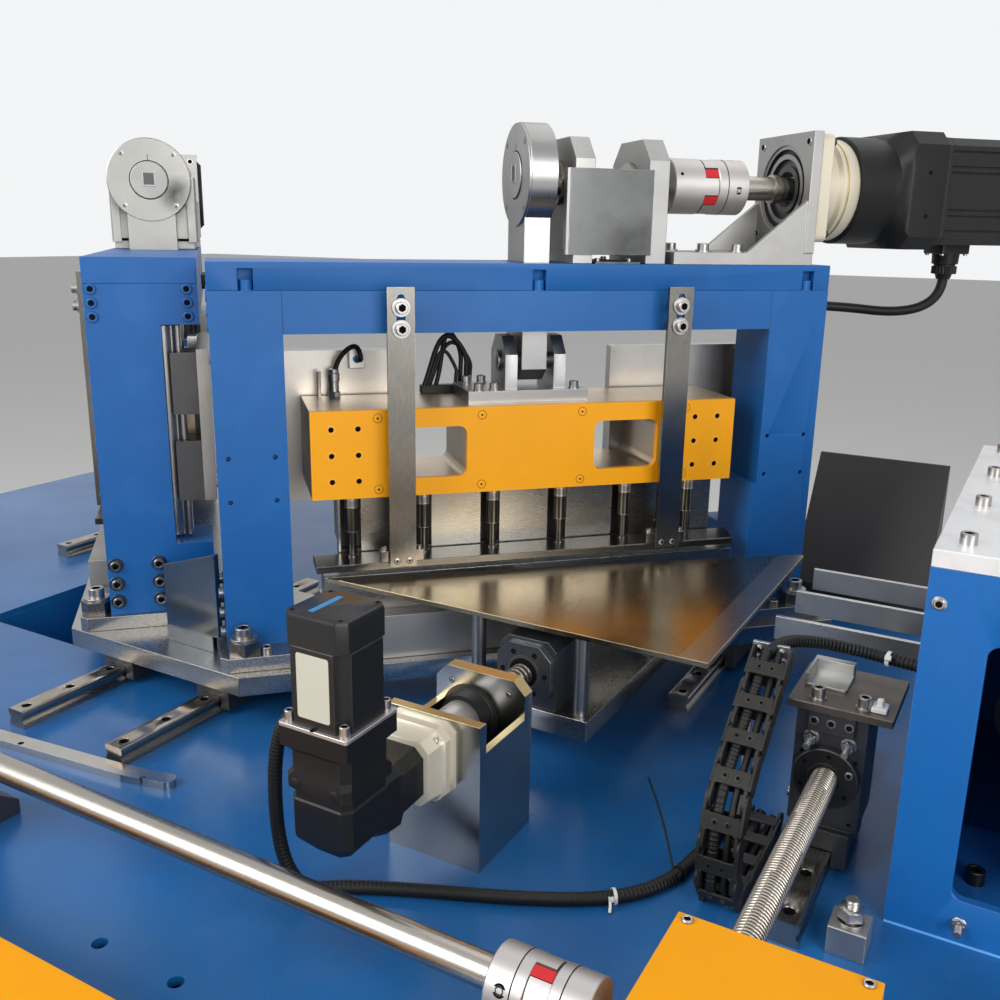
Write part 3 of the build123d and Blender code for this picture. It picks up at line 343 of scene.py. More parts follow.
def octagon(half, cut, per=4):
    """Square with cut corners, each of its eight sides divided evenly."""
    return divided(four_times([(half, cut - half), (half, half - cut)]), per)


def inset(outline, depth):
    """The outline moved inwards, each point along the middle of its two edges' inward directions."""
    outline = np.asarray(outline, float)
    if not depth:
        return outline
    edge = np.roll(outline, -1, axis=0) - outline
    edge /= np.maximum(np.linalg.norm(edge, axis=1, keepdims=True), 1e-9)
    inward = np.stack((-edge[:, 1], edge[:, 0]), axis=1)
    middle = inward + np.roll(inward, 1, axis=0)
    middle /= np.maximum((middle * inward).sum(axis=1, keepdims=True), 0.3)
    return outline + depth * middle


def stacked(rows):
    """Grid of pairs of a height and an outline, all outlines with as many points."""
    return np.stack([np.column_stack((row, np.full(len(row), z))) for z, row in rows])


def layers(skin, place, rows, finish, caps=(True, True), ring=False):
    """Outlines of as many points each, at their heights: a body whose section changes along Z."""
    skin.lay(stacked(rows), place, finish, caps, ring)


def prism(skin, place, outline, steps, finish):
    """An outline carried along Z through steps of (height, inset): a plate, boss or block with its
    chamfers."""
    layers(skin, place, [(z, inset(outline, depth)) for z, depth in steps], finish)


def plate(skin, place, outline, z0, z1, finish, edge=1.0):
    prism(skin, place, outline, ((z0, edge), (z0 + edge, 0), (z1 - edge, 0), (z1, edge)), finish)


def turned(skin, place, profile, finish, count=32, caps=(True, True), ring=False):
    """A profile of (height, radius) turned about Z."""
    layers(skin, place, [(z, circle(radius, count)) for z, radius in profile], finish, caps, ring)


# Finishes

def finish(slot, colour, metal=0.0, rough=0.4, grain=900.0, bump=0.05, streak=(1, 1, 1), blotch=0.12,
           stain=(0, 0, 0), stained=0.0, wear=0.0, edge=(0.5, 0.5, 0.5), dust=0.04, spec=0.5, dark_patch=None):
    """Values of one finish: colours as linear RGB, grain in lumps a metre, the rest as shares. A smudge is
    a point in metres and a radius."""
    return dict(slot=slot, colour=colour, metal=metal, rough=rough, grain=grain, bump=bump, streak=streak,
                blotch=blotch, stain=stain, stained=stained, wear=wear, edge=edge, dust=dust, spec=spec,
                dark_patch=dark_patch)


# The edge colours are partly wear and partly a painted highlight on sharp edges.
FINISHES = {
    "blue paint": finish("blue_paint", (0.007, 0.109, 0.360), rough=0.40, bump=0.03, wear=0.5,
                         edge=(0.12, 0.32, 0.62), dust=0.03, blotch=0.08, stain=(0.04, 0.20, 0.50),
                         stained=0.12, spec=0.35),
    "deck paint": finish("blue_paint", (0.008, 0.118, 0.355), rough=0.26, bump=0.03, wear=0.4,
                         edge=(0.10, 0.28, 0.55), blotch=0.2, stain=(0.03, 0.13, 0.32), stained=0.3,
                         spec=0.42),
    # Lighter blue of the strip along the housing's base: a painted highlight on its bottom edge.
    "painted highlight blue": finish("blue_paint", (0.10, 0.36, 0.76), rough=0.35, bump=0.0),
    "seam": finish("blue_paint", (0.008, 0.045, 0.16), rough=0.6, bump=0.0),
    "yellow paint": finish("yellow_paint", (0.87, 0.365, 0.003), rough=0.44, bump=0.03, wear=0.6,
                           edge=(0.96, 0.66, 0.20), dust=0.0, blotch=0.06, stain=(0.75, 0.30, 0.01),
                           stained=0.12, spec=0.3),
    "cover paint": finish("yellow_paint", (0.83, 0.330, 0.0015), rough=0.46, bump=0.03, wear=0.5,
                          edge=(0.96, 0.62, 0.18), dust=0.01, blotch=0.05, stain=(0.80, 0.31, 0.005),
                          stained=0.1, spec=0.14),
    "grey paint": finish("grey_paint", (0.030, 0.027, 0.028), rough=0.5, bump=0.08, wear=0.3,
                         edge=(0.12, 0.12, 0.12), dust=0.08, spec=0.35),
    "ground steel": finish("ground_steel", (0.86, 0.86, 0.87), 0.7, 0.42, 420, 0.08, (1, 1, 1), 0.10,
                           (0.52, 0.49, 0.43), 0.25, 0.5, (0.90, 0.90, 0.89)),
    "rail steel": finish("ground_steel", (0.42, 0.38, 0.33), 1.0, 0.27, 1300, 0.03, (1, 0.02, 1), 0.15,
                         (0.30, 0.22, 0.13), 0.4, 0.5, (0.7, 0.69, 0.66)),
    "upright rail steel": finish("ground_steel", (0.40, 0.385, 0.36), 1.0, 0.27, 1300, 0.03, (1, 1, 0.02),
                                 0.15, (0.28, 0.21, 0.13), 0.3, 0.5, (0.7, 0.69, 0.66)),
    "datum steel": finish("ground_steel", (0.52, 0.50, 0.47), 1.0, 0.22, 1300, 0.02, (1, 1, 1), 0.12,
                          (0.36, 0.28, 0.18), 0.25, 0.5, (0.8, 0.79, 0.77)),
    "base steel": finish("ground_steel", (0.42, 0.41, 0.39), 1.0, 0.25, 900, 0.04, (1, 0.12, 1), 0.22,
                         (0.25, 0.20, 0.15), 0.3, 0.8, (0.74, 0.73, 0.71)),
    "table steel": finish("dark_steel", (0.36, 0.288, 0.175), 1.0, 0.22, 700, 0.02, (1, 0.08, 1), 0.2,
                          (0.19, 0.14, 0.085), 0.35, 0.6, (0.66, 0.60, 0.50)),
    "table edge steel": finish("bright_steel", (0.42, 0.36, 0.28), 1.0, 0.3, 900, 0.04, (1, 0.08, 1), 0.15,
                               (0.34, 0.27, 0.18), 0.3, 0.5, (0.66, 0.60, 0.50)),
    "ram steel": finish("ground_steel", (0.60, 0.49, 0.36), 1.0, 0.36, 900, 0.05, (1, 1, 1), 0.14,
                        (0.46, 0.35, 0.22), 0.2, 0.6, (0.82, 0.78, 0.70)),
    "wing steel": finish("ground_steel", (0.46, 0.44, 0.41), 1.0, 0.34, 1200, 0.03, (1, 1, 0.2), 0.16,
                         (0.30, 0.25, 0.18), 0.25, 0.6, (0.74, 0.72, 0.68)),
    "bright steel": finish("bright_steel", (0.215, 0.205, 0.188), 1.0, 0.25, 1500, 0.025, (1, 1, 0.05), 0.14,
                           (0.34, 0.30, 0.24), 0.2, 0.6, (0.82, 0.81, 0.79)),
    "polished steel": finish("bright_steel", (0.17, 0.19, 0.21), 1.0, 0.11, 1500, 0.01, (1, 1, 0.1), 0.12,
                             (0.30, 0.29, 0.27), 0.2, 0.8, (0.86, 0.86, 0.85)),
    "shaft steel": finish("bright_steel", (0.43, 0.40, 0.36), 1.0, 0.27, 1500, 0.02, (0.05, 1, 1), 0.12,
                          (0.40, 0.36, 0.31), 0.2, 0.3, (0.8, 0.79, 0.78)),
    # Dark painted shade in the deep half of a thread's groove.
    "thread groove shade": finish("dark_steel", (0.075, 0.062, 0.05), 0.9, 0.4, 900, 0.0),
    "thread steel": finish("bright_steel", (0.50, 0.455, 0.40), 1.0, 0.36, 900, 0.0, (1, 1, 1), 0.1,
                           (0.40, 0.32, 0.22), 0.25),
    "screw steel": finish("bright_steel", (0.44, 0.425, 0.41), 1.0, 0.30, 1500, 0.03, (1, 1, 1), 0.15,
                          (0.2, 0.17, 0.13), 0.3, 0.5, (0.8, 0.79, 0.78)),
    "dark screw": finish("dark_steel", (0.050, 0.051, 0.055), 0.9, 0.36, 1500, 0.03, wear=0.6,
                         edge=(0.30, 0.30, 0.30)),
    # Dark oxide with a blue tint painted in: a painted reflection of the blue portal.
    "oxide screw": finish("dark_steel", (0.16, 0.20, 0.23), 1.0, 0.30, 1500, 0.03, wear=0.6,
                          edge=(0.5, 0.52, 0.54)),
    # Near-black painted shade for the blade's recesses.
    "blade recess": finish("dark_steel", (0.045, 0.043, 0.040), 0.9, 0.45, 900, 0.05),
    "blade steel": finish("bright_steel", (0.33, 0.315, 0.285), 1.0, 0.28, 1200, 0.03, (0.05, 0.05, 1), 0.2,
                          (0.30, 0.23, 0.15), 0.3, 0.6, (0.74, 0.72, 0.68)),
    "pressure steel": finish("bright_steel", (0.115, 0.11, 0.10), 1.0, 0.24, 1200, 0.02, (1, 1, 1), 0.2,
                             (0.14, 0.12, 0.10), 0.3, 0.9, (0.86, 0.85, 0.81)),
    "cast steel": finish("ground_steel", (0.40, 0.395, 0.385), 1.0, 0.48, 900, 0.06, (1, 1, 1), 0.16,
                         (0.30, 0.27, 0.23), 0.25, 0.6, (0.76, 0.75, 0.73)),
    "brown plate": finish("dark_steel", (0.17, 0.150, 0.130), 0.9, 0.38, 900, 0.05, (1, 1, 1), 0.2,
                          (0.10, 0.08, 0.06), 0.3, 0.8, (0.55, 0.52, 0.47)),
    "turned steel": finish("bright_steel", (0.34, 0.335, 0.33), 1.0, 0.34, 1500, 0.03, (1, 1, 1), 0.10,
                           (0.30, 0.28, 0.25), 0.2, 0.6, (0.76, 0.75, 0.74)),
    # A lighter copy of steel, painted on parts of the lit left side and on a bend that catches light: painted
    # light.
    "pale steel": finish("bright_steel", (0.345, 0.34, 0.315), 1.0, 0.40, 1500, 0.04, (1, 1, 1), 0.10,
                         (0.52, 0.48, 0.42), 0.2, 0.5, (0.88, 0.87, 0.85)),
    "sheet steel": finish("dark_steel", (0.125, 0.128, 0.128), 0.9, 0.42, 900, 0.06, (1, 1, 0.3), 0.25,
                          (0.07, 0.065, 0.06), 0.4, 0.8, (0.62, 0.61, 0.59)),
    "dark steel": finish("dark_steel", (0.115, 0.115, 0.115), 0.9, 0.42, 900, 0.06, blotch=0.22, wear=0.6,
                         edge=(0.42, 0.42, 0.41), dust=0.06, stain=(0.05, 0.045, 0.04), stained=0.3),
    "black oxide": finish("dark_steel", (0.030, 0.030, 0.031), 0.7, 0.40, 900, 0.05, blotch=0.2, wear=0.6,
                          edge=(0.26, 0.26, 0.25), dust=0.06),
    "housing steel": finish("dark_steel", (0.085, 0.088, 0.098), 0.85, 0.40, 900, 0.05, blotch=0.22, wear=0.7,
                            edge=(0.36, 0.36, 0.37), dust=0.06),
    "sheet bright": finish("bright_steel", (0.60, 0.60, 0.58), 1.0, 0.32, 1300, 0.03, (0.1, 1, 1), 0.15,
                           (0.4, 0.36, 0.3), 0.2, 0.5, (0.85, 0.85, 0.83)),
    "cream cast": finish("cream_cast", (0.66, 0.60, 0.475), 0.3, 0.46, 1300, 0.06, blotch=0.07, wear=0.4,
                         edge=(0.80, 0.77, 0.67), spec=0.4),
    "gold band": finish("cream_cast", (0.60, 0.50, 0.27), 0.8, 0.34, 900, 0.04),
    "alloy": finish("bright_steel", (0.51, 0.485, 0.47), 0.9, 0.46, 1500, 0.03, (1, 1, 1), 0.06,
                    (0.34, 0.32, 0.30), 0.1, 0.5, (0.72, 0.71, 0.70)),
    "black cast": finish("black_cast", (0.0075, 0.0075, 0.0078), rough=0.44, bump=0.10, blotch=0.05, wear=0.5,
                         edge=(0.09, 0.09, 0.09), dust=0.02, spec=0.25),
    "black satin": finish("black_cast", (0.011, 0.0113, 0.0122), rough=0.36, blotch=0.06, wear=0.5,
                          edge=(0.11, 0.11, 0.11), dust=0.03, spec=0.3),
    "label blank": finish("cream_cast", (0.50, 0.485, 0.41), rough=0.45, bump=0.0, blotch=0.04),
    "blue band": finish("blue_paint", (0.02, 0.22, 0.50), rough=0.4, bump=0.0, blotch=0.04),
    "gold plate": finish("zinc_yellow", (0.55, 0.42, 0.20), 0.9, 0.32, 900, 0.04, blotch=0.25, wear=0.7,
                         edge=(0.85, 0.78, 0.6), stain=(0.42, 0.36, 0.2), stained=0.3),
    "zinc plate": finish("zinc_yellow", (0.42, 0.43, 0.42), 1.0, 0.20, 900, 0.03, blotch=0.2, wear=0.9,
                         edge=(0.84, 0.80, 0.66), stain=(0.26, 0.25, 0.20), stained=0.25, dust=0.02),
    "red rubber": finish("cable_black", (0.52, 0.010, 0.014), rough=0.5, blotch=0.05, dust=0.0),
    "chain plastic": finish("chain_plastic", (0.0125, 0.012, 0.0105), rough=0.46, wear=0.6,
                            edge=(0.11, 0.105, 0.095), dust=0.06, spec=0.3),
    "cable rubber": finish("cable_black", (0.0075, 0.0075, 0.0075), rough=0.5, bump=0.04, blotch=0.1,
                           spec=0.3),
    "white plastic": finish("cream_cast", (0.74, 0.74, 0.71), rough=0.4, bump=0.02, blotch=0.03),
    # Near-black painted shade: it stands for the shaded inside of holes, sockets, gaps and grooves.
    "hole": finish("dark_steel", (0.004, 0.004, 0.004), rough=0.8, bump=0.0, blotch=0.0, dust=0.0, spec=0.1),
}
# Finishes with a near-black patch round a given point: the left rod's front and the right crank cover.
FINISHES["painted lit steel with dark patch"] = dict(FINISHES["pale steel"], stain=(0.40, 0.38, 0.34),
                                 dark_patch=(LEFT((490, 140, 1578)), 0.042))
FINISHES["sheet steel with dark patch"] = dict(FINISHES["sheet steel"], dark_patch=(RIGHT((672, 4, 1506)), 0.055))


def swept(path, section, up, size=1.0):
    """Grid of a section of (side, up) points carried along a path, square to the path's direction at each
    point. The size is a number, or one for each point of the path."""
    along = unit(np.gradient(path, axis=0))
    side = unit(np.cross(along, up))
    over = np.cross(side, along)
    rows = section[None, ::-1, :1] * side[:, None] + section[None, ::-1, 1:] * over[:, None]
    return path[:, None] + np.reshape(size, (-1, 1, 1)) * rows


class Wiring:
    """Adds nodes to a tree; what goes into a node is a value or another node's socket."""

    def __init__(self, tree):
        self.tree = tree

    def feed(self, value, socket):
        if isinstance(value, bpy.types.NodeSocket):
            self.tree.links.new(value, socket)
        else:
            socket.default_value = value

    def put(self, kind, ins=None, out=0, **settings):
        node = self.tree.nodes.new(kind)
        for key, value in settings.items():
            setattr(node, key, value)
        for key, value in (ins or {}).items():
            self.feed(value, node.inputs[key])
        return node.outputs[out]

    def sum(self, operation, a, b, clamp=False):
        return self.put("ShaderNodeMath", {0: a, 1: b}, operation=operation, use_clamp=clamp)

    def times(self, a, b, clamp=False):
        return self.sum("MULTIPLY", a, b, clamp)

    def mix(self, share, a, b):
        return self.put("ShaderNodeMix", {0: share, 6: a, 7: b}, 2, data_type="RGBA")

    def spread(self, value, low, high, to_low=0.0, to_high=1.0):
        return self.put("ShaderNodeMapRange", {0: value, 1: low, 2: high, 3: to_low, 4: to_high})

    def noise(self, place, scale, detail=3.0):
        return self.put("ShaderNodeTexNoise", {"Vector": place, "Scale": scale, "Detail": detail,
                                               "Roughness": 0.55})


def shared(name, ins, outs):
    """A node group with inputs of the given values and number outputs: its wiring, the Object coordinates
    in it, and the sockets inside that carry its inputs and its outputs."""
    tree = bpy.data.node_groups.new(name, "ShaderNodeTree")
    for label, value in ins.items():
        kind = "NodeSocketVector" if isinstance(value, tuple) else "NodeSocketFloat"
        tree.interface.new_socket(label, in_out="INPUT", socket_type=kind).default_value = value
    for label in outs:
        tree.interface.new_socket(label, in_out="OUTPUT", socket_type="NodeSocketFloat")
    w = Wiring(tree)
    place = w.put("ShaderNodeTexCoord", out="Object")
    return w, place, tree.nodes.new("NodeGroupInput").outputs, tree.nodes.new("NodeGroupOutput").inputs


def edge_wear_group():
    """Mask of worn edges: how far the rounded normal leaves the true one, broken up by noise."""
    w, place, ins, outs = shared("edge wear and highlight", {"Amount": 0.5, "Width": 0.0015}, ["Mask"])
    round_normal = w.put("ShaderNodeBevel", {"Radius": ins["Width"]}, samples=4)
    true_normal = w.put("ShaderNodeNewGeometry", out="Normal")
    alike = w.put("ShaderNodeVectorMath", {0: round_normal, 1: true_normal}, "Value", operation="DOT_PRODUCT")
    bent = w.spread(w.sum("SUBTRACT", 1.0, alike), 0.02, 0.22)
    broken = w.spread(w.noise(place, 38.0), 0.38, 0.62)
    w.feed(w.times(w.times(bent, broken), ins["Amount"], True), outs["Mask"])
    return w.tree


def grain_group():
    """Fine noise on Object coordinates, stretched along one axis for ground and drawn surfaces."""
    w, place, ins, outs = shared("grain", {"Lumps": 500.0, "Stretch": (1, 1, 1)}, ["Height"])
    drawn = w.put("ShaderNodeVectorMath", {0: place, 1: ins["Stretch"]}, operation="MULTIPLY")
    w.feed(w.noise(drawn, ins["Lumps"], 2.0), outs["Height"])
    return w.tree


def blotch_group():
    """Large soft patches and smaller sharper ones, each from 0 to 1."""
    w, place, ins, outs = shared("blotches", {"Scale": 5.0}, ["Soft", "Patches"])
    w.feed(w.spread(w.noise(place, ins["Scale"], 4.0), 0.3, 0.7), outs["Soft"])
    w.feed(w.spread(w.noise(place, w.times(ins["Scale"], 3.7), 6.0), 0.52, 0.68), outs["Patches"])
    return w.tree


def dust_group():
    """Mask of dust: upward faces, thinned by noise."""
    w, place, ins, outs = shared("dust", {"Amount": 0.1}, ["Mask"])
    normal = w.put("ShaderNodeNewGeometry", out="Normal")
    up = w.spread(w.put("ShaderNodeSeparateXYZ", {0: normal}, "Z"), 0.4, 1.0)
    thin = w.spread(w.noise(place, 9.0, 6.0), 0.35, 0.75, 0.25, 1.0)
    w.feed(w.times(w.times(up, thin), ins["Amount"], True), outs["Mask"])
    return w.tree


GROUPS = {"edge wear and highlight": edge_wear_group, "grain": grain_group, "blotches": blotch_group, "dust": dust_group}
DUST = (0.34, 0.33, 0.30, 1.0)


# Colour of the near-black patch round a given point.
DARK_PATCH = (0.035, 0.036, 0.038, 1.0)


def placed(w, name, out, **ins):
    """A shared group placed in a material with its own values: the output of that name, or several."""
    node = w.tree.nodes.new("ShaderNodeGroup")
    node.node_tree = bpy.data.node_groups.get(name) or GROUPS[name]()
    for key, value in ins.items():
        w.feed(value, node.inputs[key])
    return node.outputs[out] if isinstance(out, str) else [node.outputs[label] for label in out]


def material(name):
    """The finish of that name: its colour with soft blotches, stains, dust and worn edges, and its grain as
    bump."""
    made = bpy.data.materials.get(name)
    if made:
        return made
    f = dict(FINISHES[name])
    picked = name.replace(" ", "_")
    if picked in ShearColours.__annotations__:
        f["colour"] = tuple(getattr(bpy.context.scene.shear_colours, picked))
    made = bpy.data.materials.new(name)
    made.use_nodes = True
    made.diffuse_color = (*f["colour"], 1.0)
    w = Wiring(made.node_tree)
    skin = made.node_tree.nodes["Principled BSDF"].inputs
    soft, patches = placed(w, "blotches", ("Soft", "Patches"), Scale=4.0)
    grain = placed(w, "grain", "Height", Lumps=f["grain"], Stretch=f["streak"])
    light, dark = [(*(min(1.0, c * (1 + k * f["blotch"])) for c in f["colour"]), 1.0) for k in (0.7, -1.0)]
    tint = w.mix(soft, light, dark)
    tint = w.mix(w.spread(grain, 0.35, 0.65, 0.0, 0.07 if f["metal"] else 0.04), tint, dark)
    if f["stained"]:
        tint = w.mix(w.times(patches, f["stained"]), tint, (*f["stain"], 1.0))
    # Darker round a given point, broken up by the blotches.
    if f["dark_patch"]:
        point, radius = f["dark_patch"]
        away = w.put("ShaderNodeVectorMath", {0: w.put("ShaderNodeTexCoord", out="Object"), 1: point},
                     "Value", operation="DISTANCE")
        patchy = w.times(w.spread(soft, 0.0, 0.8, 0.35, 1.0), w.spread(patches, 0.0, 1.0, 0.6, 1.0))
        tint = w.mix(w.times(w.spread(away, radius, radius * 0.2), patchy, True), tint, DARK_PATCH)
    metal = f["metal"]
    # Edges take the edge colour: partly wear, partly a painted highlight where sharp edges catch light.
    if f["wear"]:
        tint = w.mix(placed(w, "edge wear and highlight", "Mask", Amount=f["wear"]), tint, (*f["edge"], 1.0))
    if f["dust"]:
        dusty = placed(w, "dust", "Mask", Amount=f["dust"])
        tint = w.mix(dusty, tint, DUST)
        if metal:
            metal = w.spread(dusty, 0.0, 1.0, metal, metal * 0.5)
    w.feed(tint, skin["Base Color"])
    w.feed(metal, skin["Metallic"])
    uneven = 0.056 if f["metal"] else 0.042
    rough = w.spread(soft, 0.0, 1.0, f["rough"] - uneven, f["rough"] + uneven)
    w.feed(w.sum("ADD", rough, w.spread(grain, 0.3, 0.7, -0.03, 0.04), True), skin["Roughness"])
    skin["Specular IOR Level"].default_value = f["spec"]
    if f["bump"]:
        height = w.put("ShaderNodeBump", {"Height": grain, "Strength": f["bump"], "Distance": 0.0012})
        w.feed(height, skin["Normal"])
    return made


# Screws, rails and threads

def front_of(place, x, z, y=0.0):
    """A place on a face that looks along -Y of place: its X along the face, its Y up and its Z outwards."""
    return place.at((x, y, z), (0, -1, 0))


def on_rim(place, radius, turn, z):
    """A place on a cylinder about Z, its own Z outwards."""
    way = np.append(around(1.0, [turn])[0], 0)
    return place.at(radius * way + (0, 0, z), way)


def shaft_line(place, rise=0.0):
    """The line of a portal's crank shaft, or one so many mm above it, with its Z along the shaft."""
    return place.at((0, MID_V, AXIS + rise), (1, 0, 0))


def cap_screw(skin, place, radius, height, finish="screw steel", count=24):
    """Socket head screw: a round head with a bevelled rim, and a six-sided hole going down into it."""
    rim, key = circle(1.0, count), hexagon(radius * 1.06, count)
    bevel = min(1.0, radius * 0.14)
    rows = ((0, radius * rim), (height - bevel, radius * rim), (height, (radius - bevel) * rim),
            (height, key * 1.08), (height - 0.5, key), (height * 0.45, key))
    layers(skin, place, rows, [finish] * 4 + ["hole"])


def grid(xs, ys, z):
    """Points of one height at every x and y."""
    return [(x, y, z) for x in xs for y in ys]


def screws(skin, place, points, *head):
    """Socket screws alike at points of a place."""
    for point in points:
        cap_screw(skin, place.at(point), *head)


def hoop(skin, place, z0, z1, r0, r1, finish, count):
    """A flat ring between two heights and two radii."""
    turned(skin, place, ((z0, r0), (z0, r1), (z1, r1), (z1, r0)), finish, count, ring=True)


def washer(skin, place, outer, inner, thick, finish="screw steel", count=28):
    turned(skin, place, ((0, inner), (0, outer), (thick - 0.4, outer), (thick, outer - 0.4),
                         (thick, inner)), finish,
           count, ring=True)


def bolted(skin, place, ring, head, *finish):
    """Socket screw on a washer: the two radii and the thickness of the ring, the radius and the height of
    the head."""
    washer(skin, place, *ring, *finish)
    cap_screw(skin, place.at((0, 0, ring[2])), *head, *finish)


def hex_head(skin, place, across, z0, z1, finish="screw steel"):
    """Six-sided prism whose top corners are cut by a cone."""
    layers(skin, place, ((z0, hexagon(across)), (z1 - 1.2, hexagon(across)),
                         (z1, circle(across * 0.47, 24))), finish)


def spot(skin, place, radius, finish="hole", lift=0.12, count=20):
    """A thin disc just proud of a face, for the dark mouth of a small hole."""
    turned(skin, place, ((-0.3, radius), (lift, radius), (lift + 0.02, radius * 0.97)), finish, count)


def sleeve(skin, place, radius, bore):
    """Low ring round the mouth of a hole, with the dark hole in it."""
    turned(skin, place, ((-0.3, radius), (0.5, radius), (0.9, radius - 0.4), (0.9, bore), (-0.3, bore)),
           "screw steel", 24, ring=True)
    spot(skin, place, bore)


def rail(skin, place, length, holes, finish):
    """Linear rail along Y from 0: a waisted profile carried along it, its top cut into cells, one for each
    hole, each the surface between a rectangle and a circle, with the hole's wall and floor below."""
    half, high, hole, deep, n = 17.0, 29.0, 7.0, 14.0, 8
    waist = half - 3.2
    flank = [(half, high - 1), (half, high - 9), (waist, high - 12.5), (waist, high - 17),
             (half, high - 20), (half, 0)]
    section = np.array([(half - 1, high)] + flank + [(-x, z) for x, z in flank[::-1]] + [(1 - half, high)])
    ends = [0.0, *(holes[1:] + holes[:-1]) / 2, length]
    rows = np.concatenate([np.linspace(a, b, n + 1)[:-1] for a, b in zip(ends, ends[1:])] + [[length]])
    skin.lay(np.stack([np.insert(section[::-1], 1, y, axis=1) for y in rows]), place, finish, strip=True)
    top = np.column_stack((np.linspace(1 - half, half - 1, n + 1)[1:-1], np.full(n - 1, high)))
    for y, step in ((0.0, 1), (length, -1)):
        outline = np.concatenate((section[::step], top[::step]))
        skin.face(np.insert(outline, 1, y, axis=1)[::-1], place, finish)
    for a, b, y in zip(ends, ends[1:], holes):
        square = divided([(half - 1, a), (half - 1, b), (1 - half, b), (1 - half, a)], n)
        way = unit(square - (0, y))
        mouth, wall = [(0, y) + way * radius for radius in (hole + 0.6, hole)]
        grid = stacked(((high, square), (high, mouth), (high - 0.6, wall), (high - deep, wall)))
        # The hole's wall and floor are near-black: painted shade inside the hole.
        skin.lay(grid[:, ::-1], place, [finish, finish, "hole"], caps=(False, True))


def threaded(skin, place, length, radius, pitch, depth, finish, steps=6, count=22, groove=None):
    """Ball screw along Z from 0: radius less a rounded groove whose phase is height / pitch less angle /
    turn. The faces in the deeper half of the groove get its finish."""
    z = np.linspace(0, length, int(length / pitch * steps))
    a = np.arange(count) * 2 * math.pi / count
    phase = z[:, None] / pitch - a[None] / (2 * math.pi)
    r = radius - depth * (0.5 - 0.5 * np.cos(2 * math.pi * phase)) ** 1.5
    grid = np.stack((r * np.cos(a), r * np.sin(a), np.broadcast_to(z[:, None], r.shape)), axis=2)
    skin.lay(grid, place, finish)
    # The deeper half of the groove gets the dark groove finish: painted shade.
    if groove:
        middle = phase[:-1] + 0.5 * (z[1] - z[0]) / pitch - 0.5 / count
        deep = 0.5 - 0.5 * np.cos(2 * math.pi * middle) > 0.5
        skin.marks[-1] = np.where(deep.ravel(), skin.mark(groove), skin.mark(finish))


def spline_points(name, route, steps):
    """Points read from the NURBS spline whose control points are the route."""
    curve = bpy.data.curves.new(name, "CURVE")
    curve.dimensions = "3D"
    spline = curve.splines.new("NURBS")
    spline.points.add(len(route) - 1)
    spline.points.foreach_set("co", np.column_stack((route, np.ones(len(route)))).ravel())
    spline.order_u = 3
    spline.use_endpoint_u = True
    curve.resolution_u = steps
    holder = bpy.data.objects.new(name, curve)
    read = bpy.data.meshes.new_from_object(holder)
    points = np.zeros(len(read.vertices) * 3)
    read.vertices.foreach_get("co", points)
    for block, data in ((bpy.data.objects, holder), (bpy.data.curves, curve), (bpy.data.meshes, read)):
        block.remove(data)
    return points.reshape(-1, 3)


def distances(points):
    """How far along a line of points each of them lies."""
    return np.concatenate(([0], np.cumsum(np.linalg.norm(np.diff(points, axis=0), axis=1))))


def tube(skin, points, radius, finish, pitch=0.0, ridge=0.0, count=12):
    """A circle carried along points, its radius rising and falling by a share at each pitch. Its side
    vector is turned as little as can be from point to point by taking it square to one fixed direction."""
    run = distances(points)
    size = radius * (1 + (ridge * np.cos(2 * math.pi * run / pitch) if pitch else 0 * run))
    skin.lay(swept(points, circle(1.0, count), (0.31, 0.52, 0.795), size), METRES, finish)
    return float(run[-1])


# Cords

CABLE_Z = DECK + 8.3
BED_CABLE = ((MOTOR_X - 45, MOTOR_Y, DECK + 248), (MOTOR_X - 95, MOTOR_Y, DECK + 248),
             (MOTOR_X - 95, MOTOR_Y, CABLE_Z), (MOTOR_X - 20, -262, CABLE_Z), (807, -173, CABLE_Z),
             (903, -97, CABLE_Z), (925, 20, CABLE_Z), (930, 98, CABLE_Z), (944, 118, CABLE_Z))
SERVO_LOW = AXIS - 90
SERVO_CABLE = ((1330, MID_V, SERVO_LOW - 61), (1330, MID_V, SERVO_LOW - 135), (1100, 208, SERVO_LOW - 110),
               (700, 184.3, SERVO_LOW - 110))


def make_cord(name, body, place, route, radius, steps, count, pitch=0.0, replaces=()):
    """A cord along the spline of its route, ribbed where it has a pitch, its length measured unless it is
    given."""
    points = spline_points(name, place(route), steps)
    skin = Skin()
    run = tube(skin, points, radius * MM, "cable rubber", pitch, 0.07, count)
    piece = build(name, skin, body, replaces, crease=80)


def make_cables(sizes):
    """Conduit from the crosswise motor to the energy chain, and the servo cables behind the portals."""
    make_cord("conduit", "bed", MACHINE, BED_CABLE, 8.0, 90, 14, sizes.conduit_pitch,
              ["bed_cable"])
    for side, place in SIDES:
        make_cord(f"servo_cable_{side}", "shear_base", place, SERVO_CABLE, 9.0, 24, 14,
                  replaces=["servo_motors"])


# Camera and stage

def posed(name, data, x, y, z, at):
    """A camera or lamp linked to the scene at a point, its axes along x, y and z."""
    thing = bpy.data.objects.new(name, data)
    bpy.context.scene.collection.objects.link(thing)
    matrix = np.eye(4)
    matrix[:3] = np.column_stack((x, y, z, at))
    thing.matrix_world = Matrix(matrix.tolist())
    return thing


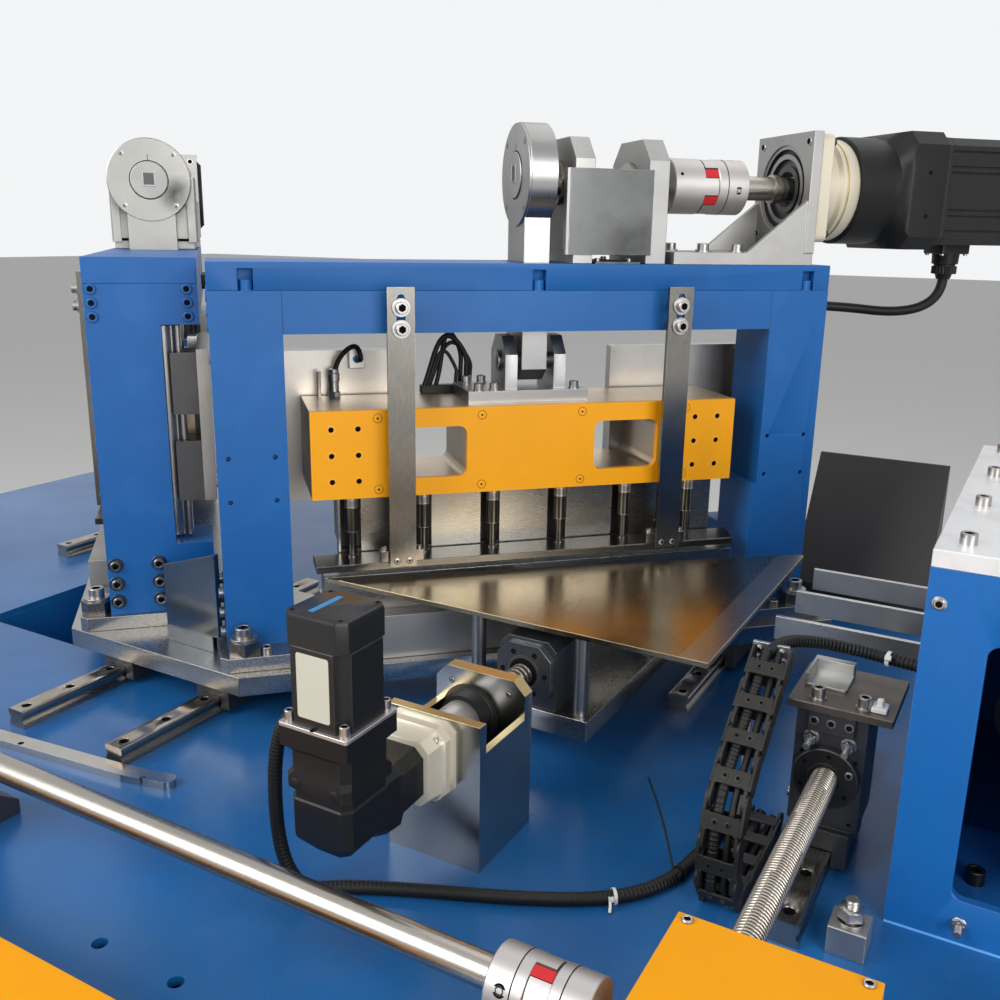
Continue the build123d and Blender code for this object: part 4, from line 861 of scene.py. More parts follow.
def make_camera():
    """The photograph's viewing angle: a camera at the operator's corner, looking along and down by its
    angles."""
    across, down, roll = math.radians(29.186), math.radians(15.104), math.radians(0.92)
    ahead = np.array((-math.sin(across) * math.cos(down), math.cos(across) * math.cos(down), -math.sin(down)))
    right = np.array((math.cos(across), math.sin(across), 0.0))
    up = np.cross(right, ahead)
    x = math.cos(roll) * right + math.sin(roll) * up
    y = -math.sin(roll) * right + math.cos(roll) * up
    lens = bpy.data.cameras.new("camera")
    lens.sensor_width = 36.0
    lens.lens = 36.108
    lens.clip_end = 200.0
    bpy.context.scene.camera = posed("camera", lens, x, y, -ahead, (1.23435, -1.2995, 1.5223))


def make_stage(settings):
    """Pale floor, pale world and three soft lamps."""
    scene = bpy.context.scene
    scene.view_settings.view_transform = "Standard"
    floor = bpy.data.meshes.new("floor")
    floor.from_pydata([(x, y, 0) for x, y in corners(40.0)], [], [(0, 1, 2, 3)])
    pale = bpy.data.materials.new("pale floor")
    pale.use_nodes = True
    skin = pale.node_tree.nodes["Principled BSDF"].inputs
    skin["Base Color"].default_value = (*settings.floor, 1.0)
    skin["Roughness"].default_value = 0.7
    skin["Specular IOR Level"].default_value = 0.2
    floor.materials.append(pale)
    ground = bpy.data.objects.new("floor", floor)
    scene.collection.objects.link(ground)
    world = bpy.data.worlds.new("pale world")
    world.use_nodes = True
    scene.world = world
    w = Wiring(world.node_tree)
    path = world.node_tree.nodes.new("ShaderNodeLightPath")
    seen = w.sum("MAXIMUM", path.outputs["Is Camera Ray"], path.outputs["Is Transmission Ray"])
    strength = w.spread(seen, 0.0, 1.0, settings.world, 1.0)
    shine = w.spread(path.outputs["Is Glossy Ray"], 0.0, 1.0, 0.0, settings.shine - settings.world)
    back = world.node_tree.nodes["Background"].inputs
    back["Color"].default_value = (0.90, 0.91, 0.92, 1.0)
    w.feed(w.sum("ADD", strength, shine), back["Strength"])
    for name, at, aim, size, power in (("key lamp", (-1.8, -3.8, 3.6), (0, 0.2, 1.0), 3.2, settings.key),
                                       ("fill lamp", (4.6, -3.0, 2.6), (0.4, 0.1, 1.0), 3.0, settings.fill),
                                       ("top lamp", (0.5, 2.2, 5.2), (0.2, 0.2, 1.0), 4.0, settings.top)):
        lamp = bpy.data.lights.new(name, "AREA")
        lamp.shape = "SQUARE"
        lamp.size = size
        lamp.energy = power
        back_way = unit(np.subtract(at, aim))
        x = unit(np.cross((0, 0, 1.0), back_way))
        posed(name, lamp, x, np.cross(back_way, x), back_way, at)


# Nodes that keep their own shape

KEPT = {
    "bed_frame": ("deck paint", 1.5), "deck_plate": ("deck paint", 1.0),
    "levelling_feet": ("dark steel", 1.0),
    "cross_bracket": ("zinc plate", 0.9), "datum_bar": ("datum steel", 0.8),
    "shaft_bearings": ("dark steel", 1.5),
    "deck_covers": ("cover paint", 1.2), "guide_gearbox": ("dark steel", 1.5),
    "station_arms": ("sheet bright", 0.6),
    "chute": ("grey paint", 0.8), "base_plate": ("base steel", 1.0), "base_carriages": ("dark steel", 1.2),
    "cross_nut_housing": ("housing steel", 1.0), "table_posts": ("turned steel", 0.8),
    "lower_beams": ("cast steel", 1.2), "lower_blades": ("blade steel", 0.6),
    "portal_feet": ("base steel", 1.0),
    "portal_frames": ("blue paint", 1.4), "top_plates": ("blue paint", 1.4),
    "gusset_plate": ("polished steel", 0.8),
    "pillow_blocks": ("cast steel", 1.2), "drive_brackets": ("cast steel", 1.0),
    "guide_carriage": ("housing steel", 1.0), "ram_right": ("ram steel", 1.0), "ram_left": ("ram steel", 1.0),
    "ram_face_right": ("yellow paint", 0.9), "ram_face_left": ("yellow paint", 0.9),
}


WING = ("wing steel", (0, (-20, 145.5, LEG + 180), (1060, 190, LEG + 460)))
CARRIAGE = ("dark steel", (0, (-20, 123, LEG + 180), (1060, 166, LEG + 460)))
CLEVIS = ("turned steel", (0, (400.5, 20, RAM_Z[1] + 0.5), (608, 150, LEG + 500)))
ZONES = {
    "ram_right": (WING, CARRIAGE, CLEVIS), "ram_left": (WING, CARRIAGE, CLEVIS),
    # The left pillow blocks are painted lighter than the right ones: painted light on the lit side.
    "pillow_blocks": (("pale steel", (-1, (540, 0, TOP - 1), (740, 180, TOP + 300))),),
}


def keep_shapes(sizes):
    """CAD nodes whose shape is right, their edges eased."""
    for node, (name, edge) in KEPT.items():
        eased(node + "_eased", node, name, frame["nodes"][node]["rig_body"], edge * sizes.edge)


# Cranks and their drives

def round_like(outline, radius):
    """Points of a circle in the directions of another outline's points."""
    return radius * unit(outline)


def arc_band(r0, r1, from_deg, to_deg, steps=6):
    """Outline of a sector between two radii, run anticlockwise."""
    way = around(1.0, np.linspace(from_deg, to_deg, steps + 1))
    return np.concatenate((way * r1, way[::-1] * r0))


def jaw_coupling(skin, place, length, radius, bore, gap):
    """Two hubs turned about Z with three jaws each, and a spider whose arms stand between the jaws. The
    jaws and the arms are sectors between two radii, carried along Z."""
    hub = (length - gap) / 2
    for z0, z1 in ((0, hub), (hub + gap, length)):
        turned(skin, place, ((z0, bore), (z0, radius - 1.5), (z0 + 1.5, radius), (z1 - 0.8, radius),
                             (z1, radius - 0.8), (z1, bore)), "alloy", 48, ring=True)
    hoop(skin, place, hub, hub + gap, radius * 0.45, radius * 0.62, "red rubber", 36)
    for tooth in range(6):
        start = tooth * 60
        prism(skin, place, arc_band(radius * 0.6, radius - 1.2, start + 2, start + 21.6),
              ((hub + 0.3, 0), (hub + gap - 0.3, 0)), "red rubber")
        low, high = ((hub - 1, hub + gap - 1.5), (hub + 1.5, hub + gap + 1))[tooth % 2]
        prism(skin, place, arc_band(radius * 0.6, radius, start + 24, start + 58.8), ((low, 0), (high, 0)),
              "alloy")


def clamp_details(skin, place, z, radius, turn):
    """The screw hole of a clamping hub and its socket screw."""
    side = on_rim(place, radius, turn, z)
    turned(skin, side, ((-3, 6.2), (0.2, 6.2), (0.25, 5.8)), "hole", 20)
    cap_screw(skin, side.at((0, 0, -0.6)), 4.8, 1.0, "dark screw")


@on_both_sides
def make_cranks(side, place):
    """Eccentric, crank shaft and jaw coupling: profiles of height and radius turned about the shaft's
    line."""
    shaft, pin = shaft_line(place), shaft_line(place, THROW)
    skin = Skin()
    turned(skin, pin, ((488.2, 35.0), (489.0, 36.0), (494.4, 36.2), (494.6, 43.6), (545, 43.6)),
           "cast steel", 64)
    front = pin.at((0, 0, 488.2), (0, 0, -1))
    prism(skin, front, box_outline(-10.5, 10.5, -10, 14, 1.0, 2), ((-1, 0), (0.3, 0)), "dark steel")
    frame_of_key = [(-12.5, -12), (12.5, -12), (12.5, 16), (10, 16), (10, -9), (-10, -9), (-10, 16),
                    (-12.5, 16)]
    prism(skin, front, frame_of_key, ((-1, 0), (1.4, 0), (1.8, 0.3)), "turned steel")
    turned(skin, shaft, ((545, 20), (558, 20), (558.2, 34.9), (603, 34.9), (603.2, 20), (682, 20),
                         (682.2, 34.9), (727, 34.9), (727.2, 20), (760, 20)), "shaft steel", 40)
    turned(skin, shaft, ((880, 20), (952, 20), (952.4, 24), (966, 24), (966.4, 20), (1041, 20)),
           "shaft steel", 40)
    build(f"crank_shaft_{side}", skin, f"crank_{side}", [f"crank_{side}"])
    skin = Skin()
    coupling = place.at((753, MID_V, AXIS), (1, 0, 0), 20)
    jaw_coupling(skin, coupling, 135, 45, 19.6, 25)
    # Thin near-black ring round the hub: painted shade in a groove.
    hoop(skin, coupling, 96, 97.4, 44.7, 45.25, "hole", 48)
    clamp_details(skin, coupling, 116, 44.6, 168)
    for z, turn in ((12, 136), (118, 75)):
        spot(skin, on_rim(coupling, 44.9, turn, z), 3.0)
    build(f"crank_coupling_{side}", skin, f"crank_{side}", crease=40)


@on_both_sides
def make_rods(side, place):
    """Connecting rods: the big end turned about the eccentric's line with its front cover and ring gap, and
    the shank with a cut foot carried through the rod's thickness."""
    pin = shaft_line(place, THROW)
    skin = Skin()
    # The left rod's front is painted lit, with a near-black patch round a point; the right rod's screw rims
    # are near-black painted shade, the left's turned steel.
    face, rim = ("painted lit steel with dark patch", "turned steel") if side == "left" else ("turned steel", "hole")
    turned(skin, pin, ((493.5, 45.1), (493.5, 79.6), (494.5, 81), (536.5, 81), (537.6, 79.8), (537.6, 45.1)),
           "turned steel", 72, ring=True)
    turned(skin, pin, ((493.8, 36.9), (490.6, 36.9), (490.2, 37.4), (490.2, 79.0), (490.8, 79.8),
                       (493.8, 79.8)),
           face, 72, ring=True)
    # Near-black ring: painted shade in the gap round the eccentric.
    hoop(skin, pin, 490.1, 493.0, 36.8, 38.0, "hole", 72)
    for v, z in around(70, (45, 135, 225, 315)):
        at = place.at((490.2, MID_V + v, AXIS + THROW + z), (-1, 0, 0))
        turned(skin, at, ((-0.3, 5.4), (0.06, 5.4), (0.07, 5.3)), rim, 24)
        turned(skin, at, ((0, 4.6), (0.1, 4.6), (0.15, 4.5)), "turned steel", 24)
        spot(skin, at, 1.8, lift=0.2, count=6)
    # A short near-black mark on the cover: painted shade.
    tick = place.at((490.2, MID_V, AXIS + THROW + 43), (-1, 0, 0))
    prism(skin, tick, box_outline(-0.6, 0.6, -6, 6, 0.3, 2), ((-0.2, 0), (0.1, 0)), "hole")
    low = AXIS + THROW - 66
    outline = [(47, low), (-47, low), (-47, WRIST), (-47, WRIST - 10), (-25, WRIST - 30), (25, WRIST - 30),
               (47, WRIST - 10), (47, WRIST)]
    prism(skin, place.at((0, MID_V, 0), (1, 0, 0)), outline,
          ((493.2, 0.8), (494, 0), (536, 0), (536.8, 0.8)), face)
    build(f"rod_{side}", skin, f"conrod_{side}", [f"conrod_{side}"])


@on_both_sides
def make_crank_covers(side, place):
    """Covers beside the pillow blocks: a folded sheet's outline in plan, with the bend as an arc, carried
    up along Z, and the strip under the shaft that joins the two."""
    skin = Skin()
    # Each fold is painted lighter than its dark sheet as a painted highlight on the bend; the left fold is
    # painted lit steel, and the right sheet has a near-black patch round a point.
    sheet, pale = ("sheet steel", "pale steel") if side == "left" else ("sheet steel with dark patch", "cast steel")
    for v, way in ((4.0, 1), (171.0, -1)):
        out, back = (v, v + 3.5)[::way]
        panel = [(555, out), (697, out), (697, back), (555, back)]
        fold = [(552, out + 3 * way), (555, out), (556.5, out), (556.5, back), (555.5, back),
                (555.5, out + 18 * way), (552, out + 18 * way)]
        for outline, colour in ((panel, sheet), (fold, pale)):
            prism(skin, place, outline[::way], ((TOP + 14, 0.4), (TOP + 14.4, 0), (TOP + 145.6, 0),
                                                (TOP + 146, 0.4)),
                  colour)
    plate(skin, place, box_outline(604, 681, 7.5, 167.5), TOP, TOP + 3.5, sheet, 0.4)
    screws(skin, place, grid((615, 670), (30, 145), TOP + 3.5), 5, 5)
    # Near-black slots: painted shade.
    for v in (31, 144):
        plate(skin, place.at((558, v, TOP + 19), (-1, 0, 0)), box(12, 2.6), -0.2, 0.15, "hole", 0.05)
    build(f"crank_cover_{side}", skin, "shear_base", ["crank_covers"])


def finned(half, cut, at, width, depth):
    """Square with cut corners and with grooves at the given places of each side, run anticlockwise."""
    grooves = [(x, c + y) for c in at for x, y in ((half, -width / 2), (half - depth, -width / 2),
                                                   (half - depth, width / 2), (half, width / 2))]
    return four_times([(half, cut - half), *grooves, (half, half - cut)])


@on_both_sides
def make_gearboxes(side, place):
    """Planetary gearboxes: rounded flange plate, then a body whose profile of height and radius is turned
    about the shaft's line, with the gold band where the two castings meet."""
    line = shaft_line(place)
    skin = Skin()
    plate(skin, line, box(87.5, 87.5, 12), 993, 1016, "cream cast", 1.5)
    turned(skin, line, ((1015, 78), (1038, 78), (1041, 81), (1043, 85), (1049, 85), (1049.5, 83.6),
                        (1053, 83.6), (1053.5, 85), (1071, 85), (1075, 83), (1076, 89), (1078, 90.5),
                        (1141, 90.5)),
           ["cream cast"] * 5 + ["gold band"] * 2 + ["cream cast"] * 2 + ["black cast"] * 3, 64)
    screws(skin, line, grid((-74, 74), (-74, 74), 1016), 7.0, 8.0, "dark screw")
    build(f"gearbox_{side}", skin, "shear_base", ["gearboxes"])
    skin = Skin()
    funnel = ((992, 21), (983, 30), (983, 39), (987, 39.2), (987, 50), (980, 50.2), (980, 58), (984, 58.2),
              (984, 66), (978, 66.2), (978, 71.9), (993, 71.9), (993, 21))
    # The last two bands, inside the bore, are near-black painted shade.
    tones = ["black oxide", "dark steel", "black oxide", "dark steel", "dark steel", "turned steel",
             "dark steel", "black oxide", "turned steel", "cast steel", "dark steel", "hole", "hole"]
    turned(skin, line, funnel, tones, 64, ring=True)
    for y, z in corners(74):
        sleeve(skin, place.at((975, MID_V + y, AXIS + z), (-1, 0, 0)), 7.4, 5.2)
    for point in grid((800, 862), (24, 151), TOP + 20):
        bolted(skin, place.at(point), (13, 6, 2), (9.5, 11))
    build(f"bracket_fittings_{side}", skin, "shear_base")


@on_both_sides
def make_servos(side, place):
    """Servo motors: an adapter that goes from round to square by rows of matching points, a finned body
    carried along the shaft's line, an end cap and a knurled elbow below."""
    line = shaft_line(place)
    skin = Skin()
    square = octagon(98, 22)
    layers(skin, line, ((1140, round_like(square, 90)), (1152, round_like(square, 91)),
                        (1163, octagon(97, 30)), (1170, square), (1233, square), (1235, octagon(96.5, 22))),
           "black cast")
    for z in (30, -42):
        spot(skin, line.at((-97.9, z, 1200), (-1, 0, 0)), 4.0)
    eight_sided(skin, line, ((1234, 89, 14), (1236, 90, 14), (1248, 90, 14), (1250, 88.5, 13)), "black satin")
    prism(skin, line, finned(89.5, 13, (-66, -41, -31, 31, 41, 66), 5.0, 6.5), ((1249, 0), (1452, 0)),
          "black satin")
    eight_sided(skin, line, ((1450, 88.5, 13), (1452, 90, 14), (1480, 90, 14), (1490, 80, 14)), "black satin")
    screws(skin, line, grid((-70, 70), (-70, 70), 1488.5), 6.0, 1.5, "dark screw")
    low = place.at((1330, MID_V, SERVO_LOW), (0, 0, -1))
    plate(skin, low, box(31, 27, 5), -4, 16, "black satin", 1.5)
    ribbed = circle(21.5, 48) * (1 + 0.03 * np.cos(np.arange(48) * math.pi))[:, None]
    layers(skin, low, [(z, circle(radius, 48)) for z, radius in ((15, 24), (34, 23), (35, 19), (38, 19))]
           + [(38.5, ribbed), (52, ribbed), (53, circle(15, 48)), (62, circle(12, 48))], "black cast")
    screws(skin, low, grid((-25, 25), (-21, 21), 16), 3.6, 3.0)
    build(f"servo_{side}", skin, "shear_base", ["servo_motors"])
    skin = Skin()
    plate(skin, place.at((690, 175, SERVO_LOW - 110), (0, 1, 0)), box(16, 16, 5), -0.2, 20, "black cast", 2.0)
    build(f"cable_clip_{side}", skin, "shear_base")


# Crosswise drive

def eight_sided(skin, place, rows, finish):
    """A body of octagons: rows of a height, half the width and the cut of the corners."""
    layers(skin, place, [(z, octagon(half, cut)) for z, half, cut in rows], finish)


def make_cross_drive():
    """Upright motor, right-angle gearbox and its flange: outlines set at their heights along each one's own
    line."""
    up = ON_DECK.at((MOTOR_X, MOTOR_Y, 0))
    skin = Skin()
    section = four_times([(40, 27), (35.5, 29), (33, 31), (31, 33), (29, 35.5), (27, 40)])
    prism(skin, up, section, ((262, 0.4), (262.5, 0), (349, 0), (350, 0.8)), "black satin")
    cap = rounded(octagon(40.3, 10, 1), 3.0, 3)
    prism(skin, up, cap, ((350, 0.8), (351, 0), (381, 0), (384, 1.2), (385, 3.2)), "black satin")
    plate(skin, up, box_outline(-15, -8, -26, 24, 1), 384.6, 385.3, "blue band", 0.2)
    for x, y in corners(31):
        spot(skin, up.at((x, y, 385)), 2.6)
    build("cross_motor_body", skin, "bed", ["cross_motor"])
    skin = Skin()
    plate(skin, front_of(ON_DECK, MOTOR_X, 308, MOTOR_Y - 40), box(21, 36, 3), -0.2, 0.35, "label blank", 0.1)
    build("motor_label", skin, "bed")
    skin = Skin()
    prism(skin, up, box(45, 45, 3), ((235, 1), (236, 0), (257.5, 0)), "black cast")
    plate(skin, up, box(45, 45, 3), 257.5, 262, "alloy", 0.6)
    screws(skin, up, grid((-36, 36), (-36, 36), 262), 5.6, 12)
    spot(skin, up.at((0, -42, 262)), 3.5)
    eight_sided(skin, up, ((105, 22, 8), (124, 38, 9), (128, 40, 9), (172, 40, 9), (174, 38.5, 9),
                           (184, 38.5, 9), (187, 42.5, 7), (200, 42.5, 7), (206, 39.5, 9), (230, 39.5, 9),
                           (235.5, 44, 4)),
                "black cast")
    for x in (-26, 26):
        turned(skin, front_of(ON_DECK, MOTOR_X + x, 193, MOTOR_Y - 42.5), ((-1, 6), (1.2, 6), (1.8, 5)),
               "black cast", 20)
    way = MACHINE.at((CROSS_X, 0, CROSS_Z), (0, 1, 0))
    eight_sided(skin, way, ((-300, 34, 8), (-282, 39, 9), (-268, 40, 9), (-256, 36, 12), (-214, 35, 12)),
                "black cast")
    build("cross_gearbox_body", skin, "bed", ["cross_gearbox"])
    skin = Skin()
    eight_sided(skin, way, ((-214, 40, 12), (-213, 41.5, 12), (-192, 43.5, 12), (-187, 46.5, 13),
                            (-186, 48, 14), (-177, 48, 14), (-174, 44, 15), (-168, 44, 15), (-166, 48, 12),
                            (-163, 48, 12)),
                "cream cast")
    for x, z in corners(35):
        screw = front_of(MACHINE, CROSS_X + x, CROSS_Z + z, -187)
        turned(skin, screw, ((-1, 9), (1.0, 9), (1.6, 8.4)), "cream cast", 24)
        cap_screw(skin, screw.at((0, 0, 1.2)), 6.2, 6.0, "alloy")
    build("cross_gearbox_flange", skin, "bed", ["gearbox_flange"])
    skin = Skin()
    band = [(698.3, 190), (681.2, 207.4), (581.8, 207.4), (564.7, 190), (566, 190), (582.4, 206),
            (680.6, 206), (697, 190)]
    prism(skin, ON_DECK.at((0, -31.2, 0), (0, -1, 0)), band, ((0, 0), (19.6, 0)), "gold plate")
    for x in (565, 688):
        plate(skin, ON_DECK, box_outline(x + 0.4, x + 9.6, -147, -52), 156, 157.4, "gold plate", 0.3)
    plate(skin, ON_DECK, box_outline(566, 697, -162.6, -148.4), 195, 196.4, "gold plate", 0.3)
    for x, z in ((589, 187), (674, 187), (590, 125), (675, 120)):
        face = front_of(ON_DECK, x, z, -51)
        spot(skin, face, 4.2)
        cap_screw(skin, face.at((0, 0, -1.5)), 3.2, 2.0)
    build("bracket_edges", skin, "bed")


def make_cross_screw(sizes):
    """Cross ball screw: its hub with clamping slots, bellows and bearing rings turned about it, and the
    thread."""
    line = MACHINE.at((CROSS_X, 0, CROSS_Z), (0, 1, 0))
    skin = Skin()
    turned(skin, line, ((-213, 13.9), (-157, 13.9)), "shaft steel", 32)
    turned(skin, line, ((-158, 14), (-158, 26.5), (-156.5, 28), (-122, 28), (-121.5, 26.4), (-117, 26.4),
                        (-116.5, 28), (-72, 28), (-71, 27), (-71, 14)), "alloy", 48, ring=True)
    for turn in (70, 160, 250, 340):
        spot(skin, on_rim(line, 28, turn, -135), 4.0)
    turned(skin, line, [(-71 + 1.6 * k, 30.5 if k % 2 else 33.5) for k in range(13)], "cable rubber", 40)
    turned(skin, line, ((-51, 17), (-51, 34), (-49.5, 34.2), (-49.5, 41.6), (-48.5, 41.9), (-33, 41.9),
                        (-31.5, 41), (-31.5, 17)), "dark steel", 48, ring=True)
    threaded(skin, line.at((0, 0, -31)), 334, 16, sizes.cross_pitch / MM, 2.2, "thread steel", 12, 28,
             "thread groove shade")
    turned(skin, line, ((302, 12), (305, 12), (305, 11)), "turned steel", 28)
    build("cross_screw_turned", skin, "cross_screw", ["cross_screw"], crease=60)
    skin = Skin()
    prism(skin, line, rounded(octagon(44, 20, 1), 2.0, 2), (
        (98, 1), (99, 0), (102, 0), (102.4, 0.9), (103.4, 0.9), (103.8, 0), (107, 0), (107.4, 0.9),
        (108.4, 0.9), (108.8, 0), (112, 0)), "housing steel")
    for x, z in around(34, range(0, 360, 60)):
        spot(skin, front_of(MACHINE, CROSS_X + x, CROSS_Z + z, 98), 4.4)
    # Near-black painted shade inside the nut's mouth.
    turned(skin, line, ((97.2, 16.6), (97.2, 24), (98.5, 25)), "hole", 40, caps=(True, False))
    turned(skin, line, ((96.6, 22.5), (96.6, 25.5), (98.4, 26), (98.4, 22.5)), "dark steel", 40, ring=True)
    turned(skin, line, ((112, 24), (200, 24)), "dark steel", 40)
    build("cross_nut_flange", skin, "shear_base", ["cross_nut"])


# Rails

def make_rails(sizes):
    """Linear rails of the bed, the guide and the rams."""
    pitch = sizes.rail_hole_pitch / MM
    skin = Skin()
    for x, low, high in ((110, -212, 500), (760, 375, 1010), (-110, -212, 500), (-760, 375, 1010)):
        rail(skin, ON_DECK.at((x, low, 0)), high - low, np.arange(20, high - low - 10, pitch), "rail steel")
    build("bed_rails", skin, "bed", ["cross_rails"], crease=50)
    skin = Skin()
    rail(skin, ON_DECK.at((GUIDE_X, -100, 0)), 480, np.arange(23, 470, pitch), "rail steel")
    build("guide_station_rail", skin, "bed", ["guide_rail"], crease=50)
    for side, place in SIDES:
        skin = Skin()
        for u in (53.5, PORTAL_LONG - 53.5):
            up = place.turned_to((u, 114.0, LEG + 125), ((-1, 0, 0), (0, 0, 1), (0, 1, 0)))
            rail(skin, up, 363, np.arange(22, 355, pitch), "upright rail steel")
        build(f"ram_rails_{side}", skin, "shear_base", ["ram_rails"], crease=50)


# Line shaft

def make_line_shaft():
    """Line shaft with its journal and the jaw coupling near the guide cover."""
    line = MACHINE.at((0, SHAFT_Y, GUIDE_Z), (1, 0, 0))
    skin = Skin()
    turned(skin, line, ((-1330, 13), (-1329, 14), (-1260, 14), (-1259, 15.6), (896, 15.95)), "shaft steel",
           40)
    turned(skin, line, ((951, 15.95), (1028, 15.95)), "shaft steel", 40)
    build("line_shaft_bar", skin, "line_shaft", ["line_shaft"])
    skin = Skin()
    coupling = line.at((0, 0, 876), (0, 0, 1), 35)
    jaw_coupling(skin, coupling, 95, 33, 15.8, 21)
    clamp_details(skin, coupling, 16, 32.6, 120)
    clamp_details(skin, coupling, 80, 32.6, 200)
    # Thin near-black rings: painted shade in the hub's grooves.
    for z in (25, 69):
        hoop(skin, coupling, z, z + 1.1, 32.7, 33.2, "hole", 48)
    build("line_shaft_coupling", skin, "line_shaft", ["shaft_coupling"], crease=40)


# Guide station

def make_guide_screw(sizes):
    """Guide ball screw: its rounded groove, and the plain ring behind the cover's hole."""
    line = MACHINE.at((GUIDE_X, 0, GUIDE_Z), (0, 1, 0))
    skin = Skin()
    threaded(skin, line.at((0, 0, -403)), 773, 16, sizes.guide_pitch / MM, 2.0, "thread steel", 10, 24,
             "thread groove shade")
    build("guide_screw_turned", skin, "guide_screw", ["guide_screw"], crease=70)


def stud(skin, place, length):
    """Threaded stud with its washer and nut."""
    washer(skin, place, 9.5, 4.2, 1.6)
    hex_head(skin, place.at((0, 0, 1.6), turn=10), 14, 0, 8)
    threaded(skin, place.at((0, 0, 9)), length - 9, 4.2, 1.6, 0.5, "screw steel", 4, 12)


def make_guide_nut():
    """Guide nut: a flange of one turned profile with six holes, and what is fixed to its housing and
    carriage."""
    skin = Skin()
    face = front_of(MACHINE, GUIDE_X, GUIDE_Z, 70)
    # The bore's last two bands are near-black painted shade.
    turned(skin, face, ((0, 16.1), (0, 38), (1, 39), (10.8, 39), (12, 37.8), (12, 21), (13.6, 20.4),
                        (13.6, 17.6), (12, 16.8), (6, 16.4)),
           ["dark steel"] * 4 + ["black oxide"] * 4 + ["hole"] * 2, 56, ring=True)
    first, *others = around(30.5, range(25, 360, 60))
    cap_screw(skin, face.at((*first, 12)), 5.0, 2.4)
    for x, y in others:
        spot(skin, face.at((x, y, 12)), 3.4)
    build("guide_nut_flange", skin, "guide_carriage", ["guide_nut"])
    skin = Skin()
    front = front_of(ON_DECK, 0, 0, 70)
    plate(skin, front, box_outline(1025, 1080, 182, 211, 1.5), -0.2, 6, "housing steel", 0.8)
    plate(skin, front, box_outline(1025, 1080, 207.5, 211, 0.5), 5.5, 9, "bright steel", 0.6)
    for x in (1032, 1052, 1073):
        sleeve(skin, front.at((x, 196, 6)), 5.4, 3.8)
    for x in (1030, 1074):
        stud(skin, front.at((x, 171, 0)), 30)
    for x, z in ((1020, 66), (1084, 66), (1020, 150), (1084, 150)):
        spot(skin, front.at((x, z, 0)), 2.6)
    plate(skin, ON_DECK, box_outline(1010.5, 1093.5, 70.4, 72.4, 0.2), 209.5, 212, "screw steel", 0.4)
    cap_screw(skin, ON_DECK.at((GUIDE_X - 42, 88, 80), (-1, 0, 0)), 6, 5)
    build("guide_housing_fittings", skin, "guide_carriage")


def make_guide_bracket():
    """Bracket on the guide nut's housing: plate, light step plate with a folded edge, two screws and a
    stop."""
    skin = Skin()
    for outline, low, high, colour, edge in (((1000, 1122, 54, 180, 2), 212, 222, "brown plate", 0.9),
                                             ((1010, 1060, 100, 162, 3), 222, 226, "sheet bright", 0.6),
                                             ((1010, 1014, 100, 162, 0.8), 225, 240, "sheet bright", 0.5),
                                             ((1013, 1060, 150, 162, 2), 225, 240, "sheet bright", 0.6)):
        plate(skin, ON_DECK, box_outline(*outline), low, high, colour, edge)
    for x in (1032, 1086):
        bolted(skin, ON_DECK.at((x, 74, 222)), (10.5, 4.5, 1.6), (8.2, 12.6))
    plate(skin, ON_DECK, box_outline(1094, 1112, 66, 88, 2), 222, 228, "white plastic", 1.0)
    plate(skin, ON_DECK, box_outline(1099, 1107, 72, 80, 3), 227, 237, "white plastic", 1.2)
    build("guide_bracket_plates", skin, "guide_carriage", ["guide_bracket"])


def chain_line():
    """Centre line of the energy chain, and how far along it each point lies: a slope, a bend, a drop, a
    bend and a run on the deck, each stretch a straight line or an arc."""
    start = (4, 90) + around(102, [126])[0]
    first = start + around(166, [36])[0]
    arcs = [(y, z) + around(r, np.linspace(low, high, 28))
            for y, z, r, low, high in ((4, 90, 102, 126, 180), (-62, 50, 36, 180, 270))]
    points = np.concatenate((first[None], *arcs, ((130.0, 14.0),)))
    return points, distances(points)


def chain_link(skin, place, length):
    """One link in its own place, X along it and Y outwards: on each side an outer and an inner cheek with
    round ends, and cross bars with two small bosses each, outside and inside the bend."""
    cap = around(12.6, np.linspace(-90, 90, 9))
    outer = np.concatenate((((length - 13.5, -12.6), (length - 13.5, 12.6)), -cap))
    inner = np.concatenate((cap + (length, 0), ((14.5, 12.6), (14.5, -12.6))))
    for side in (-1, 1):
        for outline, near, far in ((outer, 20.6, 24.0), (inner, 17.2, 21.0)):
            plate(skin, place, outline, *sorted((side * near, side * far)), "chain plastic", 0.5)
        pin = place.at((0, 0, side * 23.6), (0, 0, side))
        turned(skin, pin, ((-0.3, 4.2), (0.6, 4.2), (0.9, 3.8)), "chain plastic", 14)
    for out in (-1, 1):
        bar = place.at((length / 2, out * 10.6, 0), (0, out, 0))
        plate(skin, bar, box(9.5, 21, 1), 0, 3.2, "chain plastic", 0.6)
    for z in (-7.5, 7.5):
        boss = bar.at((0, z, 3.2))
        turned(skin, boss, ((-0.2, 3.8), (1.1, 3.8), (1.3, 2.3), (-0.1, 2.3)), "chain plastic", 12, ring=True)
        spot(skin, boss, 2.3, lift=0.1, count=12)
    for x, y in corners(9.6, 17.5):
        plate(skin, bar, box_outline(x - 1.2, x + 1.2, y - 2, y + 2, 0.4), 2.6, 4.0, "chain plastic", 0.3)


